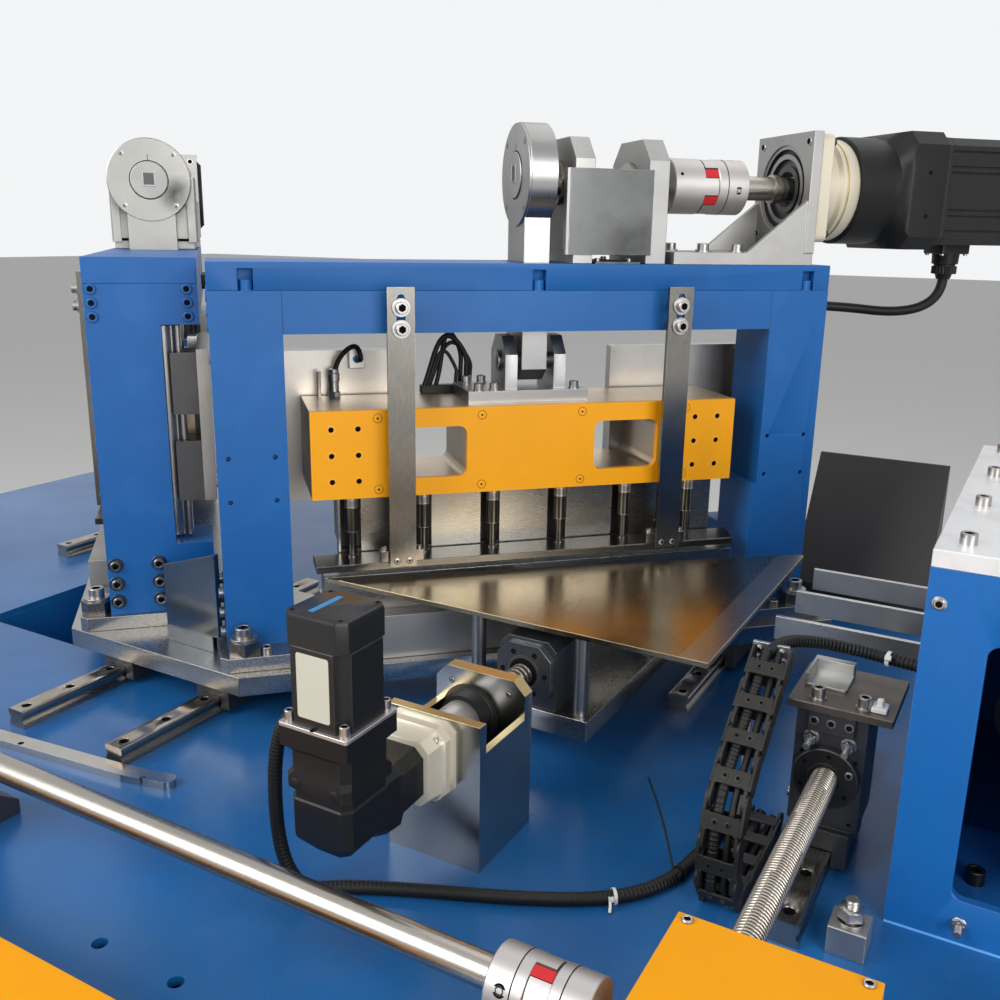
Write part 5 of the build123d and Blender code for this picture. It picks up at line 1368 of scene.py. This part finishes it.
def make_chain(sizes):
    """Energy chain: links along its centre line, each turned to the chord between its two pins."""
    points, far = chain_line()
    whole = far[-1]

    def along(low, high, count):
        run = np.linspace(low, whole - high, count)
        return np.stack((np.interp(run, far, points[:, 0]), np.interp(run, far, points[:, 1])), axis=-1)

    pins = along(12.6, 12.6, round((whole - 25) / (sizes.chain_pitch / MM)) + 1)
    skin = Skin()
    for a, b in zip(pins, pins[1:]):
        y, z = unit(b - a)
        chain_link(skin, ON_DECK.turned_to((974, *a), ((0, y, z), (0, z, -y), (-1, 0, 0))),
                   np.linalg.norm(b - a))
    for x, radius, pitch, count in ((966, 6.6, 5.2, 280), (982, 4.2, 0, 60)):
        tube(skin, ON_DECK(np.insert(along(4, 6, count), 0, x, axis=1)), radius * MM, "cable rubber",
             pitch * MM, 0.08, 10)
    build("energy_chain_links", skin, "bed", ["energy_chain"], crease=40)
    skin = Skin()
    plate(skin, ON_DECK.at((967, 89.6, 254)), box_outline(-21, 22, -6, 6, 2), -2, 1.5, "screw steel", 0.5)
    for x in (-14, 14):
        cap_screw(skin, front_of(ON_DECK, 967 + x, 263, 86.6), 4.2, 4.0)
    screws(skin, ON_DECK, grid([949], (80, 96), 0), 2.6, 1.4)
    build("chain_holder", skin, "bed")


def make_stop():
    """Stop block with its bolt and lock nut."""
    skin = Skin()
    plate(skin, ON_DECK, box_outline(1095, 1137, -88, -46, 2), 0, 34, "cast steel", 1.0)
    bolt = ON_DECK.at((1116, -67, 34))
    hex_head(skin, bolt, 26, 6, 18)
    washer(skin, bolt, 15, 8, 2.5)
    threaded(skin, bolt, 27, 8, 2.0, 0.7, "screw steel", 5, 18)
    turned(skin, bolt, ((26.8, 8), (28, 7)), "screw steel", 18)
    build("stop_bolt", skin, "bed", ["stop_block"])


# The guide station's housing in plan and height, in mm
HOUSE_X, HOUSE_BACK, HOUSE_HIGH, HOUSE_WALL = (1143.0, 1390.0), 620.0, 430.0, 12.0


def make_housing():
    """Housing: walls carried up round a closed outline, and a front that is the surface between a rectangle
    and a rounded window, each point of the one on the same line from the window's middle as its match on
    the other."""
    (x0, x1), y1, high, wall = HOUSE_X, HOUSE_BACK, HOUSE_HIGH, HOUSE_WALL
    window = box_outline(1208, 1335, 54, 356, 13, 6)
    middle = np.array((1271.5, 205.0))
    way = window - middle
    reach = np.where(way > 0, (x1, high) - middle, (x0, 0.0) - middle) / np.where(abs(way) < 1e-9, 1e-9, way)
    hit = way * reach.min(axis=1, keepdims=True) + middle
    for point in box_outline(x0, x1, 0.0, high):
        hit[np.argmin(np.linalg.norm(hit - point, axis=1))] = point
    skin = Skin()
    rows = ((-wall, hit), (0.0, hit), (0.0, window + way * 0.012), (-1.2, window), (-wall, window))
    layers(skin, front_of(ON_DECK, 0, 0), rows, "blue paint", ring=True)
    walls = rounded([(x1, wall), (x1, y1), (x0, y1), (x0, wall), (x0 + wall, wall), (x0 + wall, y1 - wall),
                     (x1 - wall, y1 - wall), (x1 - wall, wall)], [0, 4, 4, 0, 0, 0, 0, 0], 3)
    prism(skin, ON_DECK, walls, ((0, 0), (high, 0)), "blue paint")
    # The strip along the base is painted lighter blue as a painted highlight on the bottom edge.
    plate(skin, ON_DECK, box_outline(x0, x1, -2.0, 0.5), 0, 3.0, "painted highlight blue", 0.8)
    build("housing_walls", skin, "bed", ["station_housing"])
    skin = Skin()
    plate(skin, ON_DECK, box_outline(x0 + wall, x1 - wall, wall, 200), 24, 36, "blue paint", 0.8)
    cap_screw(skin, ON_DECK.at((1228, 76, 36)), 11, 17, "dark screw")
    hub = front_of(ON_DECK, 1275, 235, 150)
    turned(skin, hub, ((0, 55), (30, 55), (32, 52), (32, 20), (60, 20)), "black oxide", 40)
    build("housing_ledge", skin, "bed")


def make_station():
    """Ground top plate of the housing with its screws, and the screws and grommet of the housing's walls."""
    x0, x1 = HOUSE_X
    skin = Skin()
    plate(skin, ON_DECK, box_outline(x0, x1, 0, HOUSE_BACK, 1), HOUSE_HIGH, HOUSE_HIGH + 20, "ground steel",
          1.2)
    screws(skin, ON_DECK, grid((1173, 1360), (40, 220, 400, 580), HOUSE_HIGH + 20), 9, 12)
    build("housing_top_plate", skin, "bed", ["housing_top"])
    skin = Skin()
    for x in (1156, 1379):
        at = front_of(ON_DECK, x, 392)
        turned(skin, at, ((-0.3, 7.6), (0.4, 7.6), (0.6, 7.2)), "screw steel", 24)
        cap_screw(skin, at.at((0, 0, 0.4)), 6, 3)
    for x in (1220, 1330):
        at = front_of(ON_DECK, x, 26)
        washer(skin, at, 8.5, 4, 1.6)
        hex_head(skin, at.at((0, 0, 1.6)), 13, 0, 7)
        threaded(skin, at.at((0, 0, 8)), 14, 4.6, 1.6, 0.5, "screw steel", 4, 12)
    side = ON_DECK.at((x0, 160, 252), (-1, 0, 0))
    turned(skin, side, ((-0.3, 15), (2.5, 15), (4.5, 13), (8, 11.5), (8, 9), (-0.3, 9)), "black cast", 32,
           ring=True)
    for y in (334, 459, 584):
        foot = ON_DECK.at((x0, y, 198), (-1, 0, 0))
        plate(skin, foot, box(18, 24, 2), -0.2, 6, "sheet bright", 0.6)
        screws(skin, foot, grid((-12, 12), (-15, 15), 6), 4.4, 4)
    build("housing_screws", skin, "bed")
    skin = Skin()
    screws(skin, ON_DECK, grid((1011, 1167), (-551, -329), 168) + grid((-470, 100, 670), (-725, -605), 85),
           5.5, 2.6)
    build("cover_screws", skin, "bed")


# Table and portals

def make_table():
    """Table plate with its ground band along the right edge."""
    skin = Skin()
    plate(skin, MACHINE, [(259, 102), (886, 102), (886, 630), (874, 630)], STRIP_Z - 8, STRIP_Z,
          "table steel", 0.7)
    band = [(846, 103), (885.3, 103), (885.3, 629), (875, 629), (846, 604.5)]
    prism(skin, MACHINE, band, ((STRIP_Z - 0.2, 0), (STRIP_Z + 0.15, 0)), "table edge steel")
    build("table_plate_ground", skin, "shear_base", ["table_plate"])


@on_both_sides
def make_feet(side, place):
    """Foot clamps: six-sided spacer, washer and socket screw; smaller screws hold the feet to the base
    plate."""
    skin = Skin()
    for u in (26, 1004):
        at = place.at((u, -24, LEG))
        hex_head(skin, at, 46, 0, 22, "bright steel")
        bolted(skin, at.at((0, 0, 22)), (21, 9, 4), (13, 16))
    screws(skin, place, grid((60, 110, 915, 960), [-30], LEG), 9, 9)
    build(f"foot_clamp_{side}", skin, "shear_base", ["foot_clamps"])


@on_both_sides
def make_portal_screws(side, place):
    """Screws of the portals: end faces, pockets of the top plates, hanger screws, and the fine seam of each
    leg."""
    skin = Skin()
    for v in (12, 158):
        for z in (506, 528, 550):
            at = place.at((0, v, LEG + z), (-1, 0, 0))
            turned(skin, at, ((-0.3, 9.9), (0.15, 9.9), (0.16, 9.7)), "seam", 28)
            cap_screw(skin, at, 8.6, 2.2, "blue paint")
    for v in (14, 84):
        for z in (23, 55, 88):
            at = place.at((0, v, LEG + z), (-1, 0, 0))
            washer(skin, at, 12.8, 6, 1.8, "dark screw")
            # The cap screws are dark oxide with a painted blue reflection.
            cap_screw(skin, at.at((0, 0, 1.6)), 9.0, 7, "oxide screw")
    build(f"portal_end_screws_{side}", skin, "shear_base", ["portal_screws"])
    skin = Skin()
    for u in (56, 508, 989):
        bolted(skin, place.at((u, 9, BEAM_TOP)), (11, 5, 1.5), (9.5, 15), "blue paint")
    build(f"pocket_screws_{side}", skin, "shear_base")
    skin = Skin()
    for u in HANGER_U:
        for z in (504, 536):
            at = front_of(place, u, LEG + z)
            turned(skin, at, ((-0.3, 11), (28.7, 11), (29.7, 10), (29.7, 6.8), (38.3, 6.8)), "screw steel",
                   28)
            bolted(skin, at.at((0, 0, 38.3)), (14, 6, 3), (9.5, 9))
    build(f"hanger_screw_{side}", skin, "shear_base", ["hanger_screws"])
    skin = Skin()
    for u in (107, 923):
        line = box_outline(u - 0.5, u + 0.5, LEG + 494, BEAM_TOP)
        prism(skin, front_of(place, 0, 0), line, ((-0.2, 0), (0.12, 0)), "seam")
    build(f"seam_{side}", skin, "shear_base")


# Rams and hold-downs

def make_blades():
    """Upper blades: a section carried along the blade's length, its front set back behind each guide pin
    above the cutting edge, and its lower edge falling in a straight line."""
    u = np.array([185.0, 188.0, 188.0] + [pin + step for pin in PIN_U
                                          for step in (-17, -17, 17, 17)][2:] + [850.0])
    back = np.array([0.0] + [0, 1, 1, 0] * len(PIN_U) + [0.0])
    low = LEG + 126 - 7 * (u - 185) / 665
    top = RAM_Z[0] - 0.1
    rows = ((34.3 + 14 * back, top), (34.3 + 14 * back, low + 14), (34.3, low + 14), (34.3, low), (60.3, low),
            (60.3, top))
    grid = np.stack([np.stack(np.broadcast_arrays(u, v, z), axis=1) for v, z in rows], axis=1)
    for side, place in SIDES:
        skin = Skin()
        # The set-back faces behind the pins get a dark finish: painted shade in the recesses.
        skin.lay(grid, place, ["blade recess" if a and b else "blade steel" for a, b in zip(back, back[1:])])
        build(f"blade_set_{side}", skin, f"ram_{side}", [f"blade_{side}"], edge=0.4)


@on_both_sides
def make_ram_screws(side, place):
    """What is screwed into a ram: flush screws of its face, clevis screws, pin rings and spring sleeves."""
    skin = Skin()
    face = front_of(place, 0, 0)
    for u in (247, 416.5, 588, 776):
        for z in (247, 362):
            at = face.at((u, LEG + z, 0))
            # Near-black ring round each flush screw: painted shade in its gap.
            turned(skin, at, ((-0.2, 7.4), (0.08, 7.4), (0.09, 7.3)), "hole", 28)
            turned(skin, at, ((0.02, 6.6), (0.16, 6.6), (0.2, 6.3)), "yellow paint", 28)
            spot(skin, at, 2.0, lift=0.24, count=6)
    for u in (174, 216, 794, 836):
        for z in (262, 304, 346):
            at = face.at((u, LEG + z, 0))
            # The counterbore's wall and bottom are near-black painted shade.
            turned(skin, at, ((-6, 4.3), (-6, 5.8), (-0.3, 5.8), (-0.3, 7.2), (0.06, 7.2), (0.1, 7.0),
                              (0.1, 4.8), (-0.4, 4.3)), ["hole"] * 2 + ["yellow paint"] * 5 + ["hole"], 28,
                   ring=True)
            turned(skin, at, ((-6, 4.35), (-5.6, 4.35), (-5.58, 4.3)), "hole", 20)
    build(f"face_screws_{side}", skin, f"ram_{side}")
    skin = Skin()
    for point in grid((421, 448, 587), (44, 131), RAM_Z[1] + 20):
        bolted(skin, place.at(point), (9.6, 5, 1.6), (7.8, 11))
    for u, way in ((463, -1), (574, 1)):
        at = place.at((u, MID_V, WRIST), (way, 0, 0))
        turned(skin, at, ((-0.3, 14), (1, 14), (1.4, 13.4)), "turned steel", 32)
        washer(skin, at, 19, 14, 1.2)
    for u in PIN_U:
        turned(skin, place.at((u, 18, LEG + 176)), (
            (0, 7.3), (0, 10.4), (1, 11.2), (40, 11.2), (40.3, 10.2), (42, 10.2), (42.3, 11.2), (52, 11.2),
            (53, 9.4), (58, 9.4)), ["pressure steel"] * 6 + ["turned steel"] * 3, 28)
    wings = place.at((0, 187, LEG), (0, 1, 0))
    screws(skin, wings, grid((-36, -71, -142, -180, -250, -959, -994, -860, -780), (215, 430), 0), 8, 8)
    build(f"ram_fittings_{side}", skin, f"ram_{side}")


def slotted_bar(low):
    """Rows of a hold-down's bar: the surface between a rectangle, 42 mm wide and reaching down to low, and
    a slot, each point of the one on the other's line from the slot's middle."""
    middle, reach_up = LEG + 526, 40.0
    reach_down = middle - low
    a = np.linspace(0, 2 * math.pi, 40, endpoint=False)
    a = np.unique(np.round(np.concatenate((a, [math.atan2(y, x) % (2 * math.pi) for x in (-21, 21)
                                               for y in (reach_up, -reach_down)])), 9))
    way = np.stack((np.cos(a), np.sin(a)), axis=1)
    x, y = np.maximum(abs(way), 1e-9).T
    far = np.minimum(21 / x, np.where(way[:, 1] > 0, reach_up, reach_down) / y)
    bent = 23 * abs(way[:, 1]) + np.sqrt(np.maximum(49 - (23 * way[:, 0]) ** 2, 0))
    near = np.where(7 / x * abs(way[:, 1]) <= 23, 7 / x, bent)
    outer, slot = way * far[:, None], way * near[:, None]
    return middle, ((0, outer), (8, outer), (8, slot), (0, slot))


def make_hold_downs():
    """Hold-downs: bevelled pressure plate, guide pins, angle pieces and slotted bars."""
    low = LEG + 122
    middle, rows = slotted_bar(low + 6)
    foot = rounded([(-30, low + 12), (-4, low + 12), (-4, low + 20), (-22, low + 20), (-22, low + 52),
                    (-30, low + 52)],
                   [0, 0, 1, 3, 1, 0], 3)
    for side, place in SIDES:
        skin = Skin()
        plate(skin, place, [(142, -30), (866, -30), (884, 30), (142, 30)], low, low + 12, "pressure steel",
              1.2)
        for u in PIN_U:
            turned(skin, place.at((u, 18, low + 12)), ((0, 10), (3, 10), (4, 7), (70, 7)), "pressure steel",
                   24)
        for u in HANGER_U:
            layers(skin, front_of(place, u, middle, -30), rows, "bright steel", ring=True)
            prism(skin, place.at((u - 21, 0, 0), (1, 0, 0)), foot,
                  ((0.4, 0.4), (0.8, 0), (41.2, 0), (41.6, 0.4)), "bright steel")
            for x in (-10, 10):
                at = front_of(place, u + x, low + 15, -38)
                # Near-black ring: painted shade round the screw head.
                turned(skin, at, ((-0.2, 5.6), (0.1, 5.6), (0.11, 5.5)), "hole", 24)
                turned(skin, at, ((0, 5.0), (0.3, 5.0), (0.4, 4.8)), "screw steel", 24)
                spot(skin, at, 2.3, lift=0.45, count=6)
            for x in (u - 28.2, u + 28.2):
                plate(skin, place, box_outline(x - 7, x + 7, -31, -15, 1), low + 11.8, low + 30,
                      "bright steel", 0.6)
                cap_screw(skin, place.at((x, -23, low + 30)), 5, 5)
        build(f"hold_down_set_{side}", skin, f"hold_down_{side}", [f"hold_down_{side}"], edge=0.3)


# Hoses and ties

def make_ties():
    """Tie straps round the conduit: a flat band turned about the conduit's line with its small head, and
    the long thin tail left standing on one of them, carried along a bent line."""
    for name, (x, y), way, colour in (("tie_white", (862, -128), (96, 76, 0), "white plastic"),
                                      ("tie_black", (914, -46), (22, 117, 0), "cable rubber")):
        skin = Skin()
        hoop(skin, MACHINE.at((x, y, CABLE_Z), way), -2, 2, 8.7, 9.8, colour, 24)
        head = MACHINE.at((x, y - 9.5, CABLE_Z + 2.5), (way[1], -way[0], 0))
        plate(skin, head, box(3.2, 2.6, 0.8), -3, 4.5, colour, 0.6)
        if colour == "white plastic":
            tail = np.array([(x, y - 12, CABLE_Z + 3), (x + 3, y - 18, CABLE_Z),
                             (x + 5, y - 24, CABLE_Z - 5)], float)
            skin.lay(swept(tail, box(1.6, 0.5), (0, 0, 1)), MACHINE, colour)
        else:
            t = np.linspace(0, 1, 16)
            tail = np.stack((x - 6 - 52 * t, y - 8 + 34 * t + 6 * np.sin(3 * t),
                             CABLE_Z + 6 + 104 * t - 10 * t * t),
                            axis=1)
            skin.lay(swept(tail, box(1.3, 0.5), (0, 1, 0)), MACHINE, colour)
        build(name, skin, "bed")


def make_hoses():
    """Air hoses: one from the fitting on the ram's top to its wing, a bunch of loops behind the clevis, and
    the conduit that leads from the energy chain over the guide bracket into the housing."""
    top = RAM_Z[1]
    for side, place in SIDES:
        skin = Skin()
        base = place.at((196, 140, top))
        hex_head(skin, base, 19, 0, 10)
        turned(skin, base, ((9.5, 8.2), (26, 8.2), (27, 9.6), (40, 9.6), (41, 8.4), (47, 8.4)),
               "screw steel", 24)
        plate(skin, base, box_outline(-28, -22, -6, 10, 1), 0, 44, "bright steel", 0.6)
        elbow = place.at((236, 166, top + 62), (0, -1, 0))
        plate(skin, elbow, box(13, 16, 2), -0.2, 18, "sheet bright", 0.8)
        turned(skin, elbow, ((18, 6.5), (24, 6.5), (25, 5)), "blue band", 20)
        plate(skin, place.at((398, 158, top)), box_outline(-52, 40, -9, 8, 2), -0.2, 14, "black cast", 1.0)
        build(f"air_fittings_{side}", skin, f"ram_{side}")
    for side, place in SIDES:
        on_ram = place.at((0, 0, top))
        route = ((199, 140, 46), (203, 139, 66), (232, 126, 92), (240, 112, 66), (236, 128, 62),
                 (236, 141, 62))
        make_cord(f"air_hose_{side}", f"ram_{side}", on_ram, route, 4.2, 12, 12)
        for k, (a, b, high, radius) in enumerate(((352, 426, 92, 4.4), (362, 434, 80, 3.6),
                                                  (374, 418, 96, 4.0), (358, 408, 66, 3.2))):
            v = 151 + 4.5 * (k % 3)
            route = ((a, v, 13.5), (a + 6, v, 30), (a + 0.35 * (b - a), v + 4, high),
                     (a + 0.65 * (b - a), v + 4, high + 10), (b + 2, v + 2, high - 26), (b, v, 34),
                     (b - 1, v, 13.5))
            make_cord(f"hose_loop_{side}_{k + 1}", f"ram_{side}", on_ram, route, radius, 12, 12)
    route = ((967, 77, 262), (973, 100, 272), (1004, 150, 262), (1060, 176, 251), (1110, 164, 252),
             (1142, 160, 252))
    make_cord("chain_conduit", "bed", ON_DECK, route, 7.6, 60, 12, 5.2 * MM)
    skin = Skin()
    hoop(skin, ON_DECK.at((1096, 166, 252), (1, -0.2, 0)), -2.4, 2.4, 8.2, 9.8, "white plastic", 24)
    plate(skin, ON_DECK.at((1096, 157, 256), (0, -1, 0.6)), box(4, 3.4, 1.4), -3, 6, "white plastic", 0.8)
    build("tie_housing", skin, "bed")


# Values that a user would change

def length_value(name, about, value, low, high):
    return bpy.props.FloatProperty(name=name, description=about, default=value, min=low, max=high,
                                   unit="LENGTH", precision=4)


def colour_value(name, about, finish_name):
    return bpy.props.FloatVectorProperty(name=name, description=about, subtype="COLOR", size=3, min=0.0,
                                         max=1.0, default=FINISHES[finish_name]["colour"])


class ShearSizes(bpy.types.PropertyGroup):
    """Sizes of the fine detail."""

    edge: bpy.props.FloatProperty(name="Edges", description="Share of the usual rounding of sharp edges",
                                  default=1.0, min=0.1, max=1.5, subtype="FACTOR")
    cross_pitch: length_value("Cross screw pitch", "Rise of the crosswise ball screw in one turn", 0.010,
                              0.004, 0.02)
    guide_pitch: length_value("Guide screw pitch", "Rise of the guide ball screw in one turn", 0.005, 0.003,
                              0.02)
    rail_hole_pitch: length_value("Rail hole spacing", "From hole to hole along the rails", 0.080, 0.04, 0.16)
    chain_pitch: length_value("Chain pitch", "From pin to pin of the energy chain", 0.048, 0.03, 0.08)
    conduit_pitch: length_value("Conduit ribs", "From rib to rib of the conduit", 0.0052, 0.003, 0.01)


class ShearColours(bpy.types.PropertyGroup):
    """Colours of the paints and castings."""

    blue_paint: colour_value("Portal blue", "Paint of the portals and the housing", "blue paint")
    deck_paint: colour_value("Bed blue", "Paint of the bed and its deck", "deck paint")
    yellow_paint: colour_value("Ram yellow", "Paint of the ram faces", "yellow paint")
    cover_paint: colour_value("Cover yellow", "Paint of the folded covers", "cover paint")
    cream_cast: colour_value("Gearbox cream", "Castings of the gearboxes", "cream cast")
    red_rubber: colour_value("Spider red", "Spiders of the jaw couplings", "red rubber")


class ShearStage(bpy.types.PropertyGroup):
    """Floor and light."""

    floor: bpy.props.FloatVectorProperty(name="Floor", description="Colour of the floor", subtype="COLOR",
                                         size=3, default=(0.74, 0.74, 0.72), min=0.0, max=1.0)
    world: bpy.props.FloatProperty(name="World", description="Light from all round", default=0.48, min=0.0,
                                   max=2.0)
    shine: bpy.props.FloatProperty(name="Shine", description="World as metal mirrors it", default=0.9,
                                   min=0.0, max=2.0)
    key: bpy.props.FloatProperty(name="Key", description="Power of the key lamp", default=200.0, min=0.0,
                                 unit="POWER")
    fill: bpy.props.FloatProperty(name="Fill", description="Power of the fill lamp", default=160.0, min=0.0,
                                  unit="POWER")
    top: bpy.props.FloatProperty(name="Top", description="Power of the top lamp", default=35.0, min=0.0,
                                 unit="POWER")


# Operators, panel and registration

class Maker:
    """What every operator of the add-on shares: it can be undone."""

    bl_options = {"REGISTER", "UNDO"}


class SHEAR_OT_camera(Maker, bpy.types.Operator):
    """Camera at the operator's corner"""

    bl_idname = "shear.camera"
    bl_label = "Camera"

    def execute(self, context):
        make_camera()
        return {"FINISHED"}


class SHEAR_OT_cables(Maker, bpy.types.Operator):
    """Motor conduit on the bed and the servo cables behind the portals"""

    bl_idname = "shear.cables"
    bl_label = "Cables"

    def execute(self, context):
        make_cables(context.scene.shear_sizes)
        return {"FINISHED"}


class SHEAR_OT_hoses(Maker, bpy.types.Operator):
    """Air hoses of the rams and the conduit into the housing"""

    bl_idname = "shear.hoses"
    bl_label = "Hoses"

    def execute(self, context):
        make_hoses()
        make_ties()
        return {"FINISHED"}


class SHEAR_OT_structure(Maker, bpy.types.Operator):
    """Bed, portals, plates and covers with eased edges"""

    bl_idname = "shear.structure"
    bl_label = "Structure"

    def execute(self, context):
        keep_shapes(context.scene.shear_sizes)
        return {"FINISHED"}


class SHEAR_OT_cranks(Maker, bpy.types.Operator):
    """Crank shafts with their jaw couplings and covers"""

    bl_idname = "shear.cranks"
    bl_label = "Cranks"

    def execute(self, context):
        make_cranks()
        make_crank_covers()
        return {"FINISHED"}


class SHEAR_OT_rods(Maker, bpy.types.Operator):
    """Connecting rods"""

    bl_idname = "shear.rods"
    bl_label = "Connecting rods"

    def execute(self, context):
        make_rods()
        return {"FINISHED"}


class SHEAR_OT_gearboxes(Maker, bpy.types.Operator):
    """Planetary gearboxes and the screws of their brackets"""

    bl_idname = "shear.gearboxes"
    bl_label = "Gearboxes"

    def execute(self, context):
        make_gearboxes()
        return {"FINISHED"}


class SHEAR_OT_servos(Maker, bpy.types.Operator):
    """Servo motors with their elbows and cable clips"""

    bl_idname = "shear.servos"
    bl_label = "Servo motors"

    def execute(self, context):
        make_servos()
        return {"FINISHED"}


class SHEAR_OT_cross_drive(Maker, bpy.types.Operator):
    """Upright motor, right-angle gearbox, ball screw and nut of the crosswise drive"""

    bl_idname = "shear.cross_drive"
    bl_label = "Crosswise drive"

    def execute(self, context):
        make_cross_drive()
        make_cross_screw(context.scene.shear_sizes)
        return {"FINISHED"}


class SHEAR_OT_rails(Maker, bpy.types.Operator):
    """Linear rails of the bed, the guide station and the rams"""

    bl_idname = "shear.rails"
    bl_label = "Rails"

    def execute(self, context):
        make_rails(context.scene.shear_sizes)
        return {"FINISHED"}


class SHEAR_OT_line_shaft(Maker, bpy.types.Operator):
    """Line shaft and its jaw coupling"""

    bl_idname = "shear.line_shaft"
    bl_label = "Line shaft"

    def execute(self, context):
        make_line_shaft()
        return {"FINISHED"}


class SHEAR_OT_guide(Maker, bpy.types.Operator):
    """Guide screw, nut, bracket and stop"""

    bl_idname = "shear.guide"
    bl_label = "Strip guide"

    def execute(self, context):
        make_guide_screw(context.scene.shear_sizes)
        make_guide_nut()
        make_guide_bracket()
        make_stop()
        return {"FINISHED"}


class SHEAR_OT_chain(Maker, bpy.types.Operator):
    """Energy chain, link by link"""

    bl_idname = "shear.chain"
    bl_label = "Energy chain"

    def execute(self, context):
        make_chain(context.scene.shear_sizes)
        return {"FINISHED"}


class SHEAR_OT_station(Maker, bpy.types.Operator):
    """Housing with its window, its top plate, and the screws of the housing and covers"""

    bl_idname = "shear.station"
    bl_label = "Guide housing"

    def execute(self, context):
        make_housing()
        make_station()
        return {"FINISHED"}


class SHEAR_OT_table(Maker, bpy.types.Operator):
    """Table plate"""

    bl_idname = "shear.table"
    bl_label = "Table"

    def execute(self, context):
        make_table()
        return {"FINISHED"}


class SHEAR_OT_portal_screws(Maker, bpy.types.Operator):
    """Foot clamps, portal screws, hanger screws and seams"""

    bl_idname = "shear.portal_screws"
    bl_label = "Portal screws"

    def execute(self, context):
        make_feet()
        make_portal_screws()
        return {"FINISHED"}


class SHEAR_OT_rams(Maker, bpy.types.Operator):
    """Blades and what is screwed to the rams"""

    bl_idname = "shear.rams"
    bl_label = "Rams"

    def execute(self, context):
        make_blades()
        make_ram_screws()
        return {"FINISHED"}


class SHEAR_OT_hold_downs(Maker, bpy.types.Operator):
    """Pressure plates with their pins and slotted bars"""

    bl_idname = "shear.hold_downs"
    bl_label = "Hold-downs"

    def execute(self, context):
        make_hold_downs()
        return {"FINISHED"}


class SHEAR_OT_stage(Maker, bpy.types.Operator):
    """Pale floor, world and lamps"""

    bl_idname = "shear.stage"
    bl_label = "Stage"

    def execute(self, context):
        make_stage(context.scene.shear_stage)
        return {"FINISHED"}


MAKERS = (SHEAR_OT_camera, SHEAR_OT_cables, SHEAR_OT_hoses, SHEAR_OT_structure, SHEAR_OT_cranks,
          SHEAR_OT_rods, SHEAR_OT_gearboxes, SHEAR_OT_servos, SHEAR_OT_cross_drive, SHEAR_OT_rails,
          SHEAR_OT_line_shaft, SHEAR_OT_guide, SHEAR_OT_chain, SHEAR_OT_station, SHEAR_OT_table,
          SHEAR_OT_portal_screws, SHEAR_OT_rams, SHEAR_OT_hold_downs, SHEAR_OT_stage)
VALUES = (("shear_sizes", ShearSizes), ("shear_colours", ShearColours), ("shear_stage", ShearStage))


class SHEAR_PT_panel(bpy.types.Panel):
    """Values and steps of the shear section"""

    bl_idname = "SHEAR_PT_panel"
    bl_label = "Shear section"
    bl_space_type = "VIEW_3D"
    bl_region_type = "UI"
    bl_category = "Shear section"

    def draw(self, context):
        for group, kind in VALUES:
            box = self.layout.box()
            box.label(text=kind.__doc__)
            for value in kind.__annotations__:
                box.prop(getattr(context.scene, group), value)
        steps = self.layout.column(align=True)
        for maker in MAKERS:
            steps.operator(maker.bl_idname)


def register():
    for kind in [kind for _, kind in VALUES] + [*MAKERS, SHEAR_PT_panel]:
        bpy.utils.register_class(kind)
    for group, kind in VALUES:
        setattr(bpy.types.Scene, group, bpy.props.PointerProperty(type=kind))


def unregister():
    for group, _ in VALUES:
        delattr(bpy.types.Scene, group)
    for kind in [SHEAR_PT_panel, *reversed(MAKERS)] + [kind for _, kind in VALUES]:
        bpy.utils.unregister_class(kind)


def main():
    register()
    for maker in MAKERS:
        group, step = maker.bl_idname.split(".")
        getattr(getattr(bpy.ops, group), step)()


if __name__ == "__main__":
    main()
